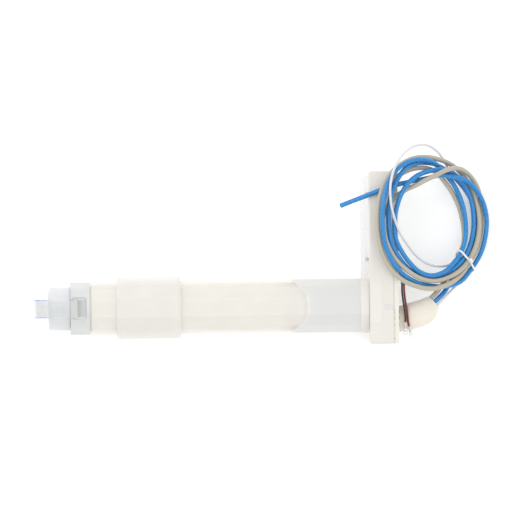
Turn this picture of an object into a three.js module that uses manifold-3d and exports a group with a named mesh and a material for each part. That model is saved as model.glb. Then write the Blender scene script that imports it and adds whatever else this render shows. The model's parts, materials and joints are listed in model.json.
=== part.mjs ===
// A salt chlorine generator for a pool or spa: a round-bored, twelve-sided tube with a dome-ended
// cartridge that is drawn out of its left end by a clear strap, an oblong power head across its
// right end, and a bundle of cords that leaves the head through a rubber boot.
//
// Millimetres, +Z up. X runs along the tube to the power head and Y along the head. The origin is
// under the middle of the object, cords apart, on the surface that it rests on.
import * as THREE from 'three';
import { ConvexGeometry } from 'three/addons/geometries/ConvexGeometry.js';
import { mergeVertices } from 'three/addons/utils/BufferGeometryUtils.js';
import Module from 'manifold-3d';

const wasm = await Module();
wasm.setup();

const { PI, sin, cos, min, max, floor, round } = Math;

// Clearances and counts shared by many pieces
const FIT = 0.3;
const OVERRUN = 3;
const SEAT = 0.1;
const TURNED_SIDES = 36;
const SMALL_SIDES = 16;
const ARC_STEPS = 6;

// The tube and its sleeve have twelve sides. These are the angles from the top of the corners in
// one quarter, so the flats at the top and bottom are narrower than the sides.
const CORNER_ANGLES = [18, 45, 75].map((degrees) => degrees * PI / 180);
const tube = { length: 361.5, corner: 36, wall: 4 };
const sleeve = { start: 33.4, length: 83.2, thickness: 4.96, chamfer: 3 };
const band = { width: 11.3, thickness: 0.7 };

// The power head stands across the right end of the tube. It is as deep as the sleeve is wide, so
// that the object rests on both.
const head = {
  thickness: 38, above: 174.5, below: 50.5, wall: 3, corner: 3,
  cover: 5, gasket: 0.8, coverRim: 2.2,
};
const spigot = { length: 12, wall: 3.2, groove: 1.8, grooveWidth: 2.1, grooveFromEnd: 4 };
const coverScrew = { head: 3.2, headDepth: 2, shank: 1.75, length: 20, boss: 4.6, inset: 6.5 };
const lens = {
  length: 11, width: 6.5, fromLeft: 25.2, along: -2.5, thickness: 3.4, proud: 0.6, corner: 1.2,
};
const label = { fromLeft: 1.3, width: 15.3, bottom: -23.5, length: 53.3, thickness: 0.25 };
const flange = { reach: 11, thickness: 3, upright: 2.4, height: 20, fromTop: 5.5 };
const flangeScrew = { head: 3, headDepth: 1.6, shank: 1.6, length: 6.4, inset: 24, lift: 11 };

// What the cartridge is made of
const cap = { length: 25.5, step: 1, spigotLength: 12, spigotWall: 3.6 };
const gasket = { thickness: 1 };
const plug = {
  lip: 2.5, flangeLength: 28, bow: 0.8, bowShare: 0.7, round: 2, neckLength: 34, wall: 3.2,
  groove: 1.8, grooveWidth: 2.1, grooveFromFlange: 14,
};
const ring = { section: 1.5, sides: 6 };
const vessel = { fromPlates: 8.3, wall: 2, corner: 17, crown: 1.8 };
const charge = { start: 14, clearEnd: 6 };
const slot = {
  mouth: 3.3, end: 4.4, depth: 3.4, shoulder: 1.5, pipWidth: 1.8, pipHeight: 0.8, pipLength: 15,
};
const strap = { reach: 19, width: 24, thickness: 2.8, ear: 1.5, earLength: 6, bend: 9 };

// What the head holds
const plate = { length: 62, thickness: 1, pitch: 6, count: 5, fromHead: 9.8 };
const rail = { height: 28, thickness: 4, groove: 1.5, start: 10 };
const post = { radius: 2, reach: 10, busThickness: 3, busWidth: 5, busHeight: 26, places: [-3, 11] };
const nut = { corner: 4.5, thickness: 4 };
const probe = { rod: 1.3, rodLength: 20, body: 3, bodyLength: 6 };
const fitting = { stem: 3, body: 5.5, bodyLength: 9, socketDepth: 6, place: -17 };
const board = {
  fromTube: 22, fromTop: 14.5, depth: 56, thickness: 1.6, standoff: 4, bossRadius: 3, inset: 6,
};
const transformer = {
  lengthShare: 0.39, placeShare: 0.56, depth: 36, height: 18, coreShare: 0.6, coreDepth: 30,
};
const capacitor = { radius: 7, height: 17, placeShare: 0.88 };
const strip = {
  fromEnd: 2, length: 12, depth: 40, height: 11, wells: 5, wellRadius: 2, wellDepth: 4,
};

// The rubber boot. Seen from above it has a section at each distance out from the head, with a
// centre and a half height there. Its depth follows the half height.
const boot = {
  out: [0, 12, 22, 34, 42, 48, 52],
  centre: [-18.6, -16.2, -13.2, -9.6, -6.5, -4.6, -3.4],
  half: [16.9, 18.2, 18.1, 17.6, 16.4, 12.6, 4.5],
  depth: 16.5, sides: 20, lip: 1.2,
};

// The cords: radii, and the places where each leaves the boot, across its flat mouth
const cordRadius = { blue: 3.15, grey: 3.15, white: 1.65, core: 1.3, electrode: 1.2 };
const CORD_STEP_SHARE = 5;
const mouth = { along: 2.9, turn: PI / 4, grey: -6.9, white: 5.4 };
const tie = { width: 2.6, thickness: 1.1, lockLength: 5.5, lockHeight: 3.6, lockShare: 0.8 };
const terminal = {
  barrel: 2, barrelLength: 8, tongueLength: 9, tongue: 3.2, eye: 1.6, thickness: 1,
};

// Places worked out from the sizes above, along the tube from its left end
const headLeft = tube.length + FIT;
const headRight = headLeft + head.thickness;
const coverLeft = headRight - head.cover;
const shellRight = coverLeft - head.gasket - 2 * FIT;
const innerLeft = headLeft + head.wall;
const capRight = -gasket.thickness - 2 * FIT;
const capLeft = capRight - cap.length;
const plugRight = capLeft - FIT;
const plugLeft = plugRight - plug.flangeLength;
const strapLeft = plugLeft - strap.reach;
const bootTip = headRight + FIT + boot.out.at(-1);
const plateRight = headLeft - plate.fromHead;
const plateLeft = plateRight - plate.length;
const vesselRight = plateLeft - vessel.fromPlates;

// Distances from the tube's axis, each worked out from the piece that it fits
const tubeFlat = tube.corner * cos(CORNER_ANGLES[0]);
const halfDepth = tubeFlat + FIT + sleeve.thickness;
const headDepth = 2 * halfDepth;
const tubeBore = tube.corner - tube.wall;
const vesselOuter = tubeBore - FIT;
const vesselInner = vesselOuter - vessel.wall;
const capCorner = tube.corner - cap.step;
const capFlat = capCorner * cos(CORNER_ANGLES[0]);
const capSpigot = vesselInner - FIT;
const capBore = capSpigot - cap.spigotWall;
const plugNeck = capBore - FIT;
const plugFlange = plugNeck + plug.lip;
const spigotOuter = tubeBore - FIT;
const spigotInner = spigotOuter - spigot.wall;
const combOuter = Math.sqrt(spigotInner ** 2 - (rail.height / 2) ** 2) - 2 * FIT;
const plateHalf = combOuter - rail.thickness + rail.groove - FIT;
const probePlace = -(combOuter + spigotInner) / 2;

// Places along the head, from the tube's axis
const flangeBottom = tube.corner;
const flangeTop = head.above - flange.fromTop;
const boardBottom = tube.corner + board.fromTube;
const boardTop = head.above - board.fromTop;
const boardLength = boardTop - boardBottom;

// The object's middle, which the origin lies under
const middle = new THREE.Vector3(
  (strapLeft + bootTip) / 2, (head.above - head.below) / 2, -halfDepth);

// The cords' places are measured from a line left of the head's right face, from a line above the
// tube's axis, and from what the object rests on.
const cordsFrom = { right: 210.95, above: 62 };
const cordsOrigin = new THREE.Vector3(headRight - cordsFrom.right, cordsFrom.above, -halfDepth);

// Materials
function finish(color, roughness, metalness = 0, opacity = 1) {
  return new THREE.MeshStandardMaterial({
    color, roughness, metalness, opacity, transparent: opacity < 1,
  });
}
const looks = {
  shell: finish(0xf3f0e8, 0.55),
  tube: finish(0xe9e8e2, 0.45, 0, 0.6),
  sleeve: finish(0xecebe6, 0.45, 0, 0.7),
  cap: finish(0xdfe3e4, 0.4, 0, 0.8),
  plug: finish(0xd5dbe2, 0.4, 0, 0.8),
  strap: finish(0xb9c6ec, 0.2, 0, 0.5),
  vessel: finish(0xf2efe8, 0.35, 0, 0.6),
  salt: finish(0xf6f2e6, 0.9),
  white: finish(0xf8f8f6, 0.6),
  clear: finish(0xf4f6f7, 0.15, 0, 0.3),
  boot: finish(0xede4d3, 0.7),
  seal: finish(0x2b2b2d, 0.8),
  silicone: finish(0xe6e4dd, 0.6, 0, 0.85),
  steel: finish(0xc9ccce, 0.3, 0.9),
  coated: finish(0x5d5a58, 0.5, 0.8),
  brass: finish(0xc9a24c, 0.35, 0.9),
  board: finish(0x1f5a3a, 0.5),
  copper: finish(0x9a8f80, 0.5, 0.6),
  grey: finish(0xb3ab9c, 0.5),
  blue: finish(0x2182cf, 0.35),
  lens: finish(0xd9dfe6, 0.15, 0, 0.7),
  black: finish(0x1c1b1c, 0.5),
  red: finish(0x7d1f1c, 0.5),
};

// Solids
function volume(positions, index) {
  const [a, b, c] = [new THREE.Vector3(), new THREE.Vector3(), new THREE.Vector3()];
  let total = 0;
  for (let i = 0; i < index.length; i += 3) {
    a.fromBufferAttribute(positions, index[i]);
    b.fromBufferAttribute(positions, index[i + 1]);
    c.fromBufferAttribute(positions, index[i + 2]);
    total += a.dot(b.cross(c)) / 6;
  }
  return total;
}

// The same surface with its shared corners merged, no empty triangles and its faces pointing out
function closed(geometry) {
  const bare = geometry.clone();
  bare.deleteAttribute('normal');
  bare.deleteAttribute('uv');
  const merged = mergeVertices(bare);
  const old = merged.index.array;
  let index = [];
  for (let i = 0; i < old.length; i += 3) {
    const [a, b, c] = [old[i], old[i + 1], old[i + 2]];
    if (a !== b && b !== c && c !== a) index.push(a, b, c);
  }
  if (volume(merged.getAttribute('position'), index) < 0) index = index.reverse();
  merged.setIndex(index);
  return merged;
}

function solid(geometry) {
  const shape = closed(geometry);
  return new wasm.Manifold(new wasm.Mesh({
    numProp: 3,
    vertProperties: new Float32Array(shape.getAttribute('position').array),
    triVerts: new Uint32Array(shape.index.array),
  }));
}

function surface(body) {
  const mesh = body.getMesh();
  const geometry = new THREE.BufferGeometry();
  const positions = new Float32Array(mesh.vertProperties);
  geometry.setAttribute('position', new THREE.BufferAttribute(positions, 3));
  geometry.setIndex(Array.from(mesh.triVerts));
  return geometry;
}

function cut(base, ...tools) {
  return surface(tools.reduce((body, tool) => body.subtract(solid(tool)), solid(base)));
}

function common(base, other) {
  return surface(solid(base).intersect(solid(other)));
}

function join(base, ...others) {
  return surface(others.reduce((body, other) => body.add(solid(other)), solid(base)));
}

// Shapes
const ALONG_X = new THREE.Matrix4().makeBasis(
  new THREE.Vector3(0, 1, 0), new THREE.Vector3(0, 0, 1), new THREE.Vector3(1, 0, 0));
const TURN_ON_X = new THREE.Matrix4().makeBasis(
  new THREE.Vector3(0, 1, 0), new THREE.Vector3(1, 0, 0), new THREE.Vector3(0, 0, -1));

// A block between two corners
function block([x0, x1], [y0, y1], [z0, z1]) {
  return new THREE.BoxGeometry(x1 - x0, y1 - y0, z1 - z0)
    .translate((x0 + x1) / 2, (y0 + y1) / 2, (z0 + z1) / 2);
}

// An outline in Y and Z, drawn out along X from start to end
function prism(outline, start, end) {
  const geometry = new THREE.ExtrudeGeometry(new THREE.Shape(outline), {
    depth: end - start, bevelEnabled: false,
  });
  return geometry.applyMatrix4(ALONG_X).translate(start, 0, 0);
}

// A profile of [place along X, radius] turned about the X axis
function turned(profile, sides = TURNED_SIDES) {
  const points = profile.map(([along, radius]) => new THREE.Vector2(radius, along));
  const geometry = closed(new THREE.LatheGeometry(points, sides));
  return geometry.applyMatrix4(TURN_ON_X);
}

function rod(start, end, radius, y = 0, z = 0, sides = SMALL_SIDES) {
  return turned([[start, 0], [start, radius], [end, radius], [end, 0]], sides).translate(0, y, z);
}

function hollow(start, end, outer, inner) {
  return turned([[start, inner], [start, outer], [end, outer], [end, inner], [start, inner]]);
}

// The twelve corners of the tube's outline, at a given corner radius, in Y and Z
function twelveCorners(radius) {
  const quarter = CORNER_ANGLES.map((angle) => [radius * sin(angle), radius * cos(angle)]);
  const lower = quarter.map(([y, z]) => [y, -z]).reverse();
  const right = [...quarter, ...lower];
  const left = right.map(([y, z]) => [-y, z]).reverse();
  return [...right, ...left].map(([y, z]) => new THREE.Vector2(y, z));
}

function arc(centreAlong, centreRadius, radius, from, to, steps = ARC_STEPS) {
  const points = [];
  for (let i = 0; i <= steps; i += 1) {
    const angle = from + (to - from) * i / steps;
    points.push([centreAlong + radius * sin(angle), centreRadius + radius * cos(angle)]);
  }
  return points;
}

// A regular section for a cord
function section(radius, sides) {
  const shape = new THREE.Shape();
  for (let i = 0; i < sides; i += 1) {
    const angle = 2 * PI * i / sides;
    const [x, y] = [radius * cos(angle), radius * sin(angle)];
    if (i === 0) shape.moveTo(x, y);
    else shape.lineTo(x, y);
  }
  return shape;
}

// A smooth line through the points given, and its number of steps, one each two and a half diameters
function smoothLine(points, radius) {
  const path = new THREE.CatmullRomCurve3(points, false, 'centripetal');
  const steps = max(points.length, round(path.getLength() / (CORD_STEP_SHARE * radius)));
  return { path, steps };
}

function cord(points, radius, sides = 10) {
  const { path, steps } = smoothLine(points, radius);
  return new THREE.ExtrudeGeometry(section(radius, sides), { extrudePath: path, steps });
}

// One closed tube through rings laid square to a line of points
function wound(points, radius, sides = 6) {
  const positions = [];
  const index = [];
  let across = new THREE.Vector3(0, 0, 1);
  points.forEach((point, i) => {
    const before = points[max(i - 1, 0)];
    const after = points[min(i + 1, points.length - 1)];
    const along = after.clone().sub(before).normalize();
    across = across.clone().addScaledVector(along, -across.dot(along)).normalize();
    const other = along.clone().cross(across);
    for (let k = 0; k < sides; k += 1) {
      const angle = 2 * PI * k / sides;
      const corner = point.clone()
        .addScaledVector(across, radius * cos(angle))
        .addScaledVector(other, radius * sin(angle));
      positions.push(...corner.toArray());
    }
  });
  for (let i = 0; i + 1 < points.length; i += 1) {
    for (let k = 0; k < sides; k += 1) {
      const [a, b] = [i * sides + k, i * sides + (k + 1) % sides];
      index.push(a, b, b + sides, a, b + sides, a + sides);
    }
  }
  const last = (points.length - 1) * sides;
  for (let k = 1; k + 1 < sides; k += 1) {
    index.push(0, k + 1, k);
    index.push(last, last + k, last + k + 1);
  }
  const geometry = new THREE.BufferGeometry();
  geometry.setAttribute('position', new THREE.Float32BufferAttribute(positions, 3));
  geometry.setIndex(index);
  return closed(geometry);
}

const machine = new THREE.Group();
machine.position.copy(middle).negate();
const cords = new THREE.Group();
cords.position.copy(cordsOrigin).sub(middle);
const generator = new THREE.Group();
generator.add(machine, cords);

function add(name, geometry, material, group = machine) {
  const mesh = new THREE.Mesh(closed(geometry), material);
  mesh.name = name;
  group.add(mesh);
  return mesh;
}

// The tube, with its sleeve and printed band
function addTube() {
  const bore = rod(-OVERRUN, tube.length + OVERRUN, tubeBore, 0, 0, TURNED_SIDES);
  add('main_tube', cut(prism(twelveCorners(tube.corner), 0, tube.length), bore), looks.tube);

  const fitCorner = tube.corner + FIT / cos(CORNER_ANGLES[0]);
  const opening = prism(twelveCorners(fitCorner), -OVERRUN, tube.length + OVERRUN);
  const sleeveCorner = halfDepth / cos(CORNER_ANGLES[0]);
  const sleeveEnd = sleeve.start + sleeve.length;
  const sleeveMiddle = prism(
    twelveCorners(sleeveCorner), sleeve.start + sleeve.chamfer, sleeveEnd - sleeve.chamfer);
  const sleeveLip = prism(
    twelveCorners(sleeveCorner - sleeve.chamfer / 2), sleeve.start, sleeveEnd);
  add('mounting_sleeve', cut(join(sleeveMiddle, sleeveLip), opening), looks.sleeve);

  const bandOuter = prism(
    twelveCorners(fitCorner + band.thickness), tube.length - band.width, tube.length);
  add('tube_band', cut(bandOuter, opening), looks.white);
}

// A ring of round section, about the X axis
function sealRing(along, centreRadius) {
  const profile = [];
  for (let i = 0; i <= ring.sides; i += 1) {
    const angle = 2 * PI * i / ring.sides;
    profile.push([
      along + ring.section / 2 * sin(angle), centreRadius + ring.section / 2 * cos(angle)]);
  }
  return turned(profile);
}

// The cartridge: end cap, plug, seals, vessel and salt
function addCartridge() {
  const capBody = join(
    prism(twelveCorners(capCorner), capLeft, capRight),
    rod(capRight - OVERRUN, capRight + cap.spigotLength, capSpigot, 0, 0, TURNED_SIDES));
  const slots = [];
  const pips = [];
  for (const side of [-1, 1]) {
    const z = [side * (capFlat - slot.depth), side * (capFlat + OVERRUN)].sort((a, b) => a - b);
    const half = strap.width / 2 + FIT;
    const windowLeft = capLeft + slot.mouth;
    slots.push(block([capLeft - OVERRUN, windowLeft + FIT], [-half, half], z));
    const wide = half + slot.shoulder;
    slots.push(block([windowLeft, capRight - slot.end], [-wide, wide], z));
    for (const way of [-1, 1]) {
      const y = way * (wide + slot.pipWidth);
      const x = [windowLeft, windowLeft + slot.pipLength];
      const height = [side * (capFlat - 2 * slot.depth), side * (capFlat + OVERRUN)];
      const bar = block(x, [y - slot.pipWidth / 2, y + slot.pipWidth / 2],
        height.sort((a, b) => a - b));
      pips.push(common(bar, prism(twelveCorners(capCorner + slot.pipHeight), ...x)));
    }
  }
  const bore = rod(
    capLeft - OVERRUN, capRight + cap.spigotLength + OVERRUN, capBore, 0, 0, TURNED_SIDES);
  add('end_cap', cut(join(capBody, ...pips), bore, ...slots), looks.cap);

  const gasketLeft = capRight + FIT;
  add('cap_gasket',
    hollow(gasketLeft, gasketLeft + gasket.thickness, tubeFlat - FIT, vesselInner + SEAT), looks.silicone);

  const grooveLeft = plugRight + plug.grooveFromFlange;
  const grooveFloor = plugNeck - plug.groove;
  const neckRight = plugRight + plug.neckLength;
  const inner = plugNeck - plug.wall;
  add('cartridge_plug', turned([
    [plugLeft - plug.bow, 0],
    [plugLeft - plug.bow / 2, plugFlange * plug.bowShare],
    [plugLeft, plugFlange - plug.round],
    [plugLeft + plug.round, plugFlange],
    [plugRight, plugFlange],
    [plugRight, plugNeck],
    [grooveLeft, plugNeck],
    [grooveLeft, grooveFloor],
    [grooveLeft + plug.grooveWidth, grooveFloor],
    [grooveLeft + plug.grooveWidth, plugNeck],
    [neckRight, plugNeck],
    [neckRight, inner],
    [plugLeft + plug.wall, inner],
    [plugLeft + plug.wall, 0],
  ]), looks.plug);
  add('plug_o_ring', sealRing(
    grooveLeft + plug.grooveWidth / 2, grooveFloor + FIT + ring.section / 2), looks.seal);

  const cornerAlong = vesselRight - vessel.crown - vessel.corner;
  const wall = vessel.wall;
  add('domed_vessel', turned([
    [FIT, vesselOuter],
    ...arc(cornerAlong, vesselOuter - vessel.corner, vessel.corner, 0, PI / 2),
    [vesselRight, 0],
    [vesselRight - wall, 0],
    ...arc(cornerAlong, vesselOuter - vessel.corner, vessel.corner - wall, PI / 2, 0),
    [FIT, vesselInner],
    [FIT, vesselOuter],
  ]), looks.vessel);

  const saltRadius = vesselInner - FIT;
  const saltCorner = vessel.corner - wall - FIT;
  const saltRight = cornerAlong - charge.clearEnd;
  add('salt_charge', turned([
    [charge.start, 0],
    [charge.start, saltRadius],
    ...arc(saltRight, saltRadius - saltCorner, saltCorner, 0, PI / 2),
    [saltRight + saltCorner, 0],
  ]), looks.salt);
}

// The pull strap: a flat band bent into a U, with ears at the tips of its arms
function addStrap() {
  const armInner = capFlat - slot.depth + FIT;
  const armOuter = armInner + strap.thickness;
  const tip = capLeft + slot.mouth + FIT + strap.earLength;
  const bendInner = strap.bend - strap.thickness;
  const outer = [[tip, -armOuter]];
  const inner = [[tip, armInner]];
  for (let i = 0; i <= ARC_STEPS; i += 1) {
    const angle = PI / 2 * i / ARC_STEPS;
    outer.push([strapLeft + strap.bend * (1 - sin(angle)),
      -armOuter + strap.bend * (1 - cos(angle))]);
  }
  for (let i = 0; i <= ARC_STEPS; i += 1) {
    const angle = PI / 2 * i / ARC_STEPS;
    outer.push([strapLeft + strap.bend * (1 - cos(angle)),
      armOuter - strap.bend * (1 - sin(angle))]);
  }
  outer.push([tip, armOuter]);
  for (let i = 0; i <= ARC_STEPS; i += 1) {
    const angle = PI / 2 * i / ARC_STEPS;
    inner.push([strapLeft + strap.bend - bendInner * sin(angle),
      armInner - bendInner * (1 - cos(angle))]);
  }
  for (let i = 0; i <= ARC_STEPS; i += 1) {
    const angle = PI / 2 * i / ARC_STEPS;
    inner.push([strapLeft + strap.bend - bendInner * cos(angle),
      -armInner + bendInner * (1 - sin(angle))]);
  }
  inner.push([tip, -armInner]);
  const outline = [...outer, ...inner].map(([x, z]) => new THREE.Vector2(x, z));
  const bandShape = new THREE.ExtrudeGeometry(new THREE.Shape(outline), {
    depth: strap.width, bevelEnabled: false,
  }).rotateX(PI / 2).translate(0, strap.width / 2, 0);
  const wide = strap.width / 2 + strap.ear;
  const ears = [-1, 1].map((side) => {
    const z = [side * armInner, side * armOuter].sort((a, b) => a - b);
    return block([tip - strap.earLength, tip], [-wide, wide], z);
  });
  add('pull_strap', join(bandShape, ...ears), looks.strap);
}

const screwPlaces = [];
for (const along of [-head.below + coverScrew.inset, (head.above - head.below) / 2,
  head.above - coverScrew.inset]) {
  for (const side of [-1, 1]) {
    screwPlaces.push([along, side * (halfDepth - coverScrew.inset)]);
  }
}

// An outline in X and Y with both its left or both its right corners rounded
function roundedSide(left, right, bottom, top, radius, leftSide) {
  const shape = new THREE.Shape();
  if (leftSide) {
    shape.moveTo(right, bottom);
    shape.lineTo(right, top);
    shape.lineTo(left + radius, top);
    shape.absarc(left + radius, top - radius, radius, PI / 2, PI);
    shape.lineTo(left, bottom + radius);
    shape.absarc(left + radius, bottom + radius, radius, PI, 3 * PI / 2);
  } else {
    shape.moveTo(left, top);
    shape.lineTo(left, bottom);
    shape.lineTo(right - radius, bottom);
    shape.absarc(right - radius, bottom + radius, radius, -PI / 2, 0);
    shape.lineTo(right, top - radius);
    shape.absarc(right - radius, top - radius, radius, 0, PI / 2);
  }
  return shape;
}

// A plate of the head's depth, drawn out along Z from an outline in X and Y
function slab(shape) {
  return new THREE.ExtrudeGeometry(shape, {
    depth: headDepth, bevelEnabled: false, curveSegments: ARC_STEPS / 2,
  }).translate(0, 0, -halfDepth);
}

// The head's shell, with the spigot that enters the tube, screw bosses and board posts
function addHeadShell() {
  const outerBox = slab(
    roundedSide(headLeft, shellRight, -head.below, head.above, head.corner, true));
  const cavity = block([innerLeft, shellRight + OVERRUN],
    [-head.below + head.wall, head.above - head.wall],
    [-halfDepth + head.wall, halfDepth - head.wall]);
  const spigotLeft = headLeft - spigot.length;
  const grooveLeft = spigotLeft + spigot.grooveFromEnd;
  const spigotRing = turned([
    [spigotLeft, spigotInner],
    [spigotLeft, spigotOuter],
    [grooveLeft, spigotOuter],
    [grooveLeft, spigotOuter - spigot.groove],
    [grooveLeft + spigot.grooveWidth, spigotOuter - spigot.groove],
    [grooveLeft + spigot.grooveWidth, spigotOuter],
    [headLeft + head.wall / 2, spigotOuter],
    [headLeft + head.wall / 2, spigotInner],
    [spigotLeft, spigotInner],
  ]);
  const wallMiddle = innerLeft - head.wall / 2;
  const bosses = screwPlaces.map(([y, z]) => rod(wallMiddle, shellRight, coverScrew.boss, y, z));
  const boardPosts = boardPlaces().map(([y, z]) => rod(
    wallMiddle, innerLeft + board.standoff, board.bossRadius, y, z));
  const screwEnd = coverLeft + coverScrew.headDepth - coverScrew.length;
  const screwHoles = screwPlaces.map(([y, z]) => rod(
    screwEnd, shellRight + OVERRUN, coverScrew.shank + FIT, y, z));
  const wallHoles = [
    ...post.places.map((y) => rod(headLeft - OVERRUN, innerLeft + OVERRUN, post.radius + FIT, y)),
    rod(headLeft - OVERRUN, innerLeft + OVERRUN, probe.rod + FIT, probePlace),
    rod(headLeft - OVERRUN, innerLeft + OVERRUN, fitting.stem + FIT, fitting.place),
    ...flangeScrewPlaces().map(([y, z]) => rod(
      headLeft - OVERRUN, innerLeft + OVERRUN, flangeScrew.shank + FIT, y, z)),
  ];
  const lensHole = lensShape(FIT, halfDepth - head.wall - OVERRUN, halfDepth + OVERRUN);
  const shell = join(cut(outerBox, cavity), spigotRing, ...bosses, ...boardPosts);
  add('head_shell', cut(shell, ...screwHoles, ...wallHoles, lensHole), looks.shell);
  add('socket_o_ring', sealRing(grooveLeft + spigot.grooveWidth / 2,
    spigotOuter - spigot.groove + FIT + ring.section / 2), looks.seal);
}

function boardPlaces() {
  const places = [];
  for (const y of [boardBottom + board.inset, boardTop - board.inset]) {
    for (const side of [-1, 1]) places.push([y, side * (board.depth / 2 - board.inset)]);
  }
  return places;
}

// The window for the indicator, or its lens when it grows by nothing
function lensShape(grow, bottom, top) {
  const [halfX, halfY] = [lens.length / 2 + grow, lens.width / 2 + grow];
  const corner = lens.corner + grow;
  const shape = new THREE.Shape();
  shape.moveTo(-halfX + corner, -halfY);
  shape.lineTo(halfX - corner, -halfY);
  shape.absarc(halfX - corner, -halfY + corner, corner, -PI / 2, 0);
  shape.lineTo(halfX, halfY - corner);
  shape.absarc(halfX - corner, halfY - corner, corner, 0, PI / 2);
  shape.lineTo(-halfX + corner, halfY);
  shape.absarc(-halfX + corner, halfY - corner, corner, PI / 2, PI);
  shape.lineTo(-halfX, -halfY + corner);
  shape.absarc(-halfX + corner, -halfY + corner, corner, PI, 3 * PI / 2);
  return new THREE.ExtrudeGeometry(shape, {
    depth: top - bottom, bevelEnabled: false, curveSegments: ARC_STEPS / 2,
  }).translate(headLeft + lens.fromLeft, lens.along, bottom);
}

function addHeadTrim() {
  const top = halfDepth + lens.proud;
  add('indicator_lens', lensShape(0, top - lens.thickness, top), looks.lens);
  const labelLeft = headLeft + label.fromLeft;
  add('label_plate', block([labelLeft, labelLeft + label.width],
    [label.bottom, label.bottom + label.length],
    [halfDepth + SEAT, halfDepth + SEAT + label.thickness]), looks.white);
}

// The head's cover and gasket, with holes for the screws and for the runs of cord
function addHeadCover(runHoles) {
  const coverSlab = slab(
    roundedSide(coverLeft, headRight, -head.below, head.above, head.corner, false));
  const heads = screwPlaces.map(([y, z]) => turned([
    [coverLeft - OVERRUN, 0],
    [coverLeft - OVERRUN, coverScrew.shank + FIT],
    [headRight - coverScrew.headDepth - FIT, coverScrew.shank + FIT],
    [headRight - coverScrew.headDepth - FIT, coverScrew.head + FIT],
    [headRight + OVERRUN, coverScrew.head + FIT],
    [headRight + OVERRUN, 0],
  ], SMALL_SIDES).translate(0, y, z));
  add('head_cover', cut(coverSlab, ...heads, ...runHoles), looks.shell);

  const [left, right] = [shellRight + FIT, shellRight + FIT + head.gasket];
  const rim = head.wall;
  const frame = cut(
    block([left, right], [-head.below + head.coverRim / 2, head.above - head.coverRim / 2],
      [-halfDepth + head.coverRim / 2, halfDepth - head.coverRim / 2]),
    block([left - OVERRUN, right + OVERRUN], [-head.below + rim, head.above - rim],
      [-halfDepth + rim, halfDepth - rim]));
  add('cover_gasket', frame, looks.silicone);

  screwPlaces.forEach(([y, z], i) => {
    const screwLeft = headRight - coverScrew.length;
    const screw = turned([
      [screwLeft, 0],
      [screwLeft + coverScrew.shank, coverScrew.shank],
      [headRight - coverScrew.headDepth, coverScrew.shank],
      [headRight - coverScrew.headDepth, coverScrew.head],
      [headRight, coverScrew.head],
      [headRight, 0],
    ], SMALL_SIDES).translate(0, y, z);
    const bladeSlot = block([headRight - coverScrew.headDepth / 2, headRight + OVERRUN],
      [-coverScrew.head * 2, coverScrew.head * 2], [-FIT, FIT]).translate(0, y, z);
    add(`cover_screw_${i + 1}`, cut(screw, bladeSlot), looks.steel);
  });
}

function flangeScrewPlaces() {
  return [flangeBottom + flangeScrew.inset, flangeTop - flangeScrew.inset]
    .map((y) => [y, -halfDepth + flangeScrew.lift]);
}

// The clear flange on the head's left face, for a wall or a bracket
function addFlange() {
  const right = headLeft - FIT;
  const foot = block([right - flange.reach, right], [flangeBottom, flangeTop],
    [-halfDepth, -halfDepth + flange.thickness]);
  const upright = block([right - flange.upright, right], [flangeBottom, flangeTop],
    [-halfDepth, -halfDepth + flange.height]);
  const holes = flangeScrewPlaces().map(([y, z]) => rod(
    right - flange.reach, right + OVERRUN, flangeScrew.shank + FIT, y, z));
  add('wall_flange', cut(join(foot, upright), ...holes), looks.clear);
  flangeScrewPlaces().forEach(([y, z], i) => {
    const under = right - flange.upright - FIT;
    const screw = turned([
      [under - flangeScrew.headDepth, 0],
      [under - flangeScrew.headDepth, flangeScrew.head],
      [under, flangeScrew.head],
      [under, flangeScrew.shank],
      [under + flangeScrew.length, flangeScrew.shank],
      [under + flangeScrew.length, 0],
    ], SMALL_SIDES).translate(0, y, z);
    add(`flange_screw_${i + 1}`, screw, looks.steel);
  });
}

// The electrode stack that stands on the head inside the tube
function addElectrodes() {
  const grooves = [];
  for (let i = 0; i < plate.count; i += 1) {
    const z = (i - (plate.count - 1) / 2) * plate.pitch;
    add(`electrode_plate_${i + 1}`, block([plateLeft, plateRight],
      [-plateHalf, plateHalf],
      [z - plate.thickness / 2, z + plate.thickness / 2]), looks.coated);
    const reach = plateHalf + FIT;
    grooves.push(block([plateLeft - OVERRUN, plateRight + FIT], [-reach, reach],
      [z - plate.thickness / 2 - FIT, z + plate.thickness / 2 + FIT]));
  }
  [-1, 1].forEach((side, i) => {
    const y = [side * (combOuter - rail.thickness), side * combOuter].sort((a, b) => a - b);
    const z = [-rail.height / 2, rail.height / 2];
    const bar = block([plateLeft + rail.start, headLeft - FIT], y, z);
    add(`electrode_comb_${i + 1}`, cut(bar, ...grooves), looks.white);
  });
  post.places.forEach((y, i) => {
    const busLeft = plateRight + FIT;
    const bus = block([busLeft, busLeft + post.busThickness],
      [y - post.busWidth / 2, y + post.busWidth / 2], [-post.busHeight / 2, post.busHeight / 2]);
    const pin = rod(busLeft + post.busThickness / 2, headLeft + post.reach, post.radius, y);
    add(`terminal_post_${i + 1}`, join(bus, pin), looks.steel);
    const nutLeft = innerLeft + FIT;
    const body = rod(nutLeft, nutLeft + nut.thickness, nut.corner, y, 0, 6);
    const hole = rod(nutLeft - OVERRUN, nutLeft + nut.thickness + OVERRUN, post.radius + FIT, y);
    add(`terminal_nut_${i + 1}`, cut(body, hole), looks.brass);
  });
}

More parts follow.
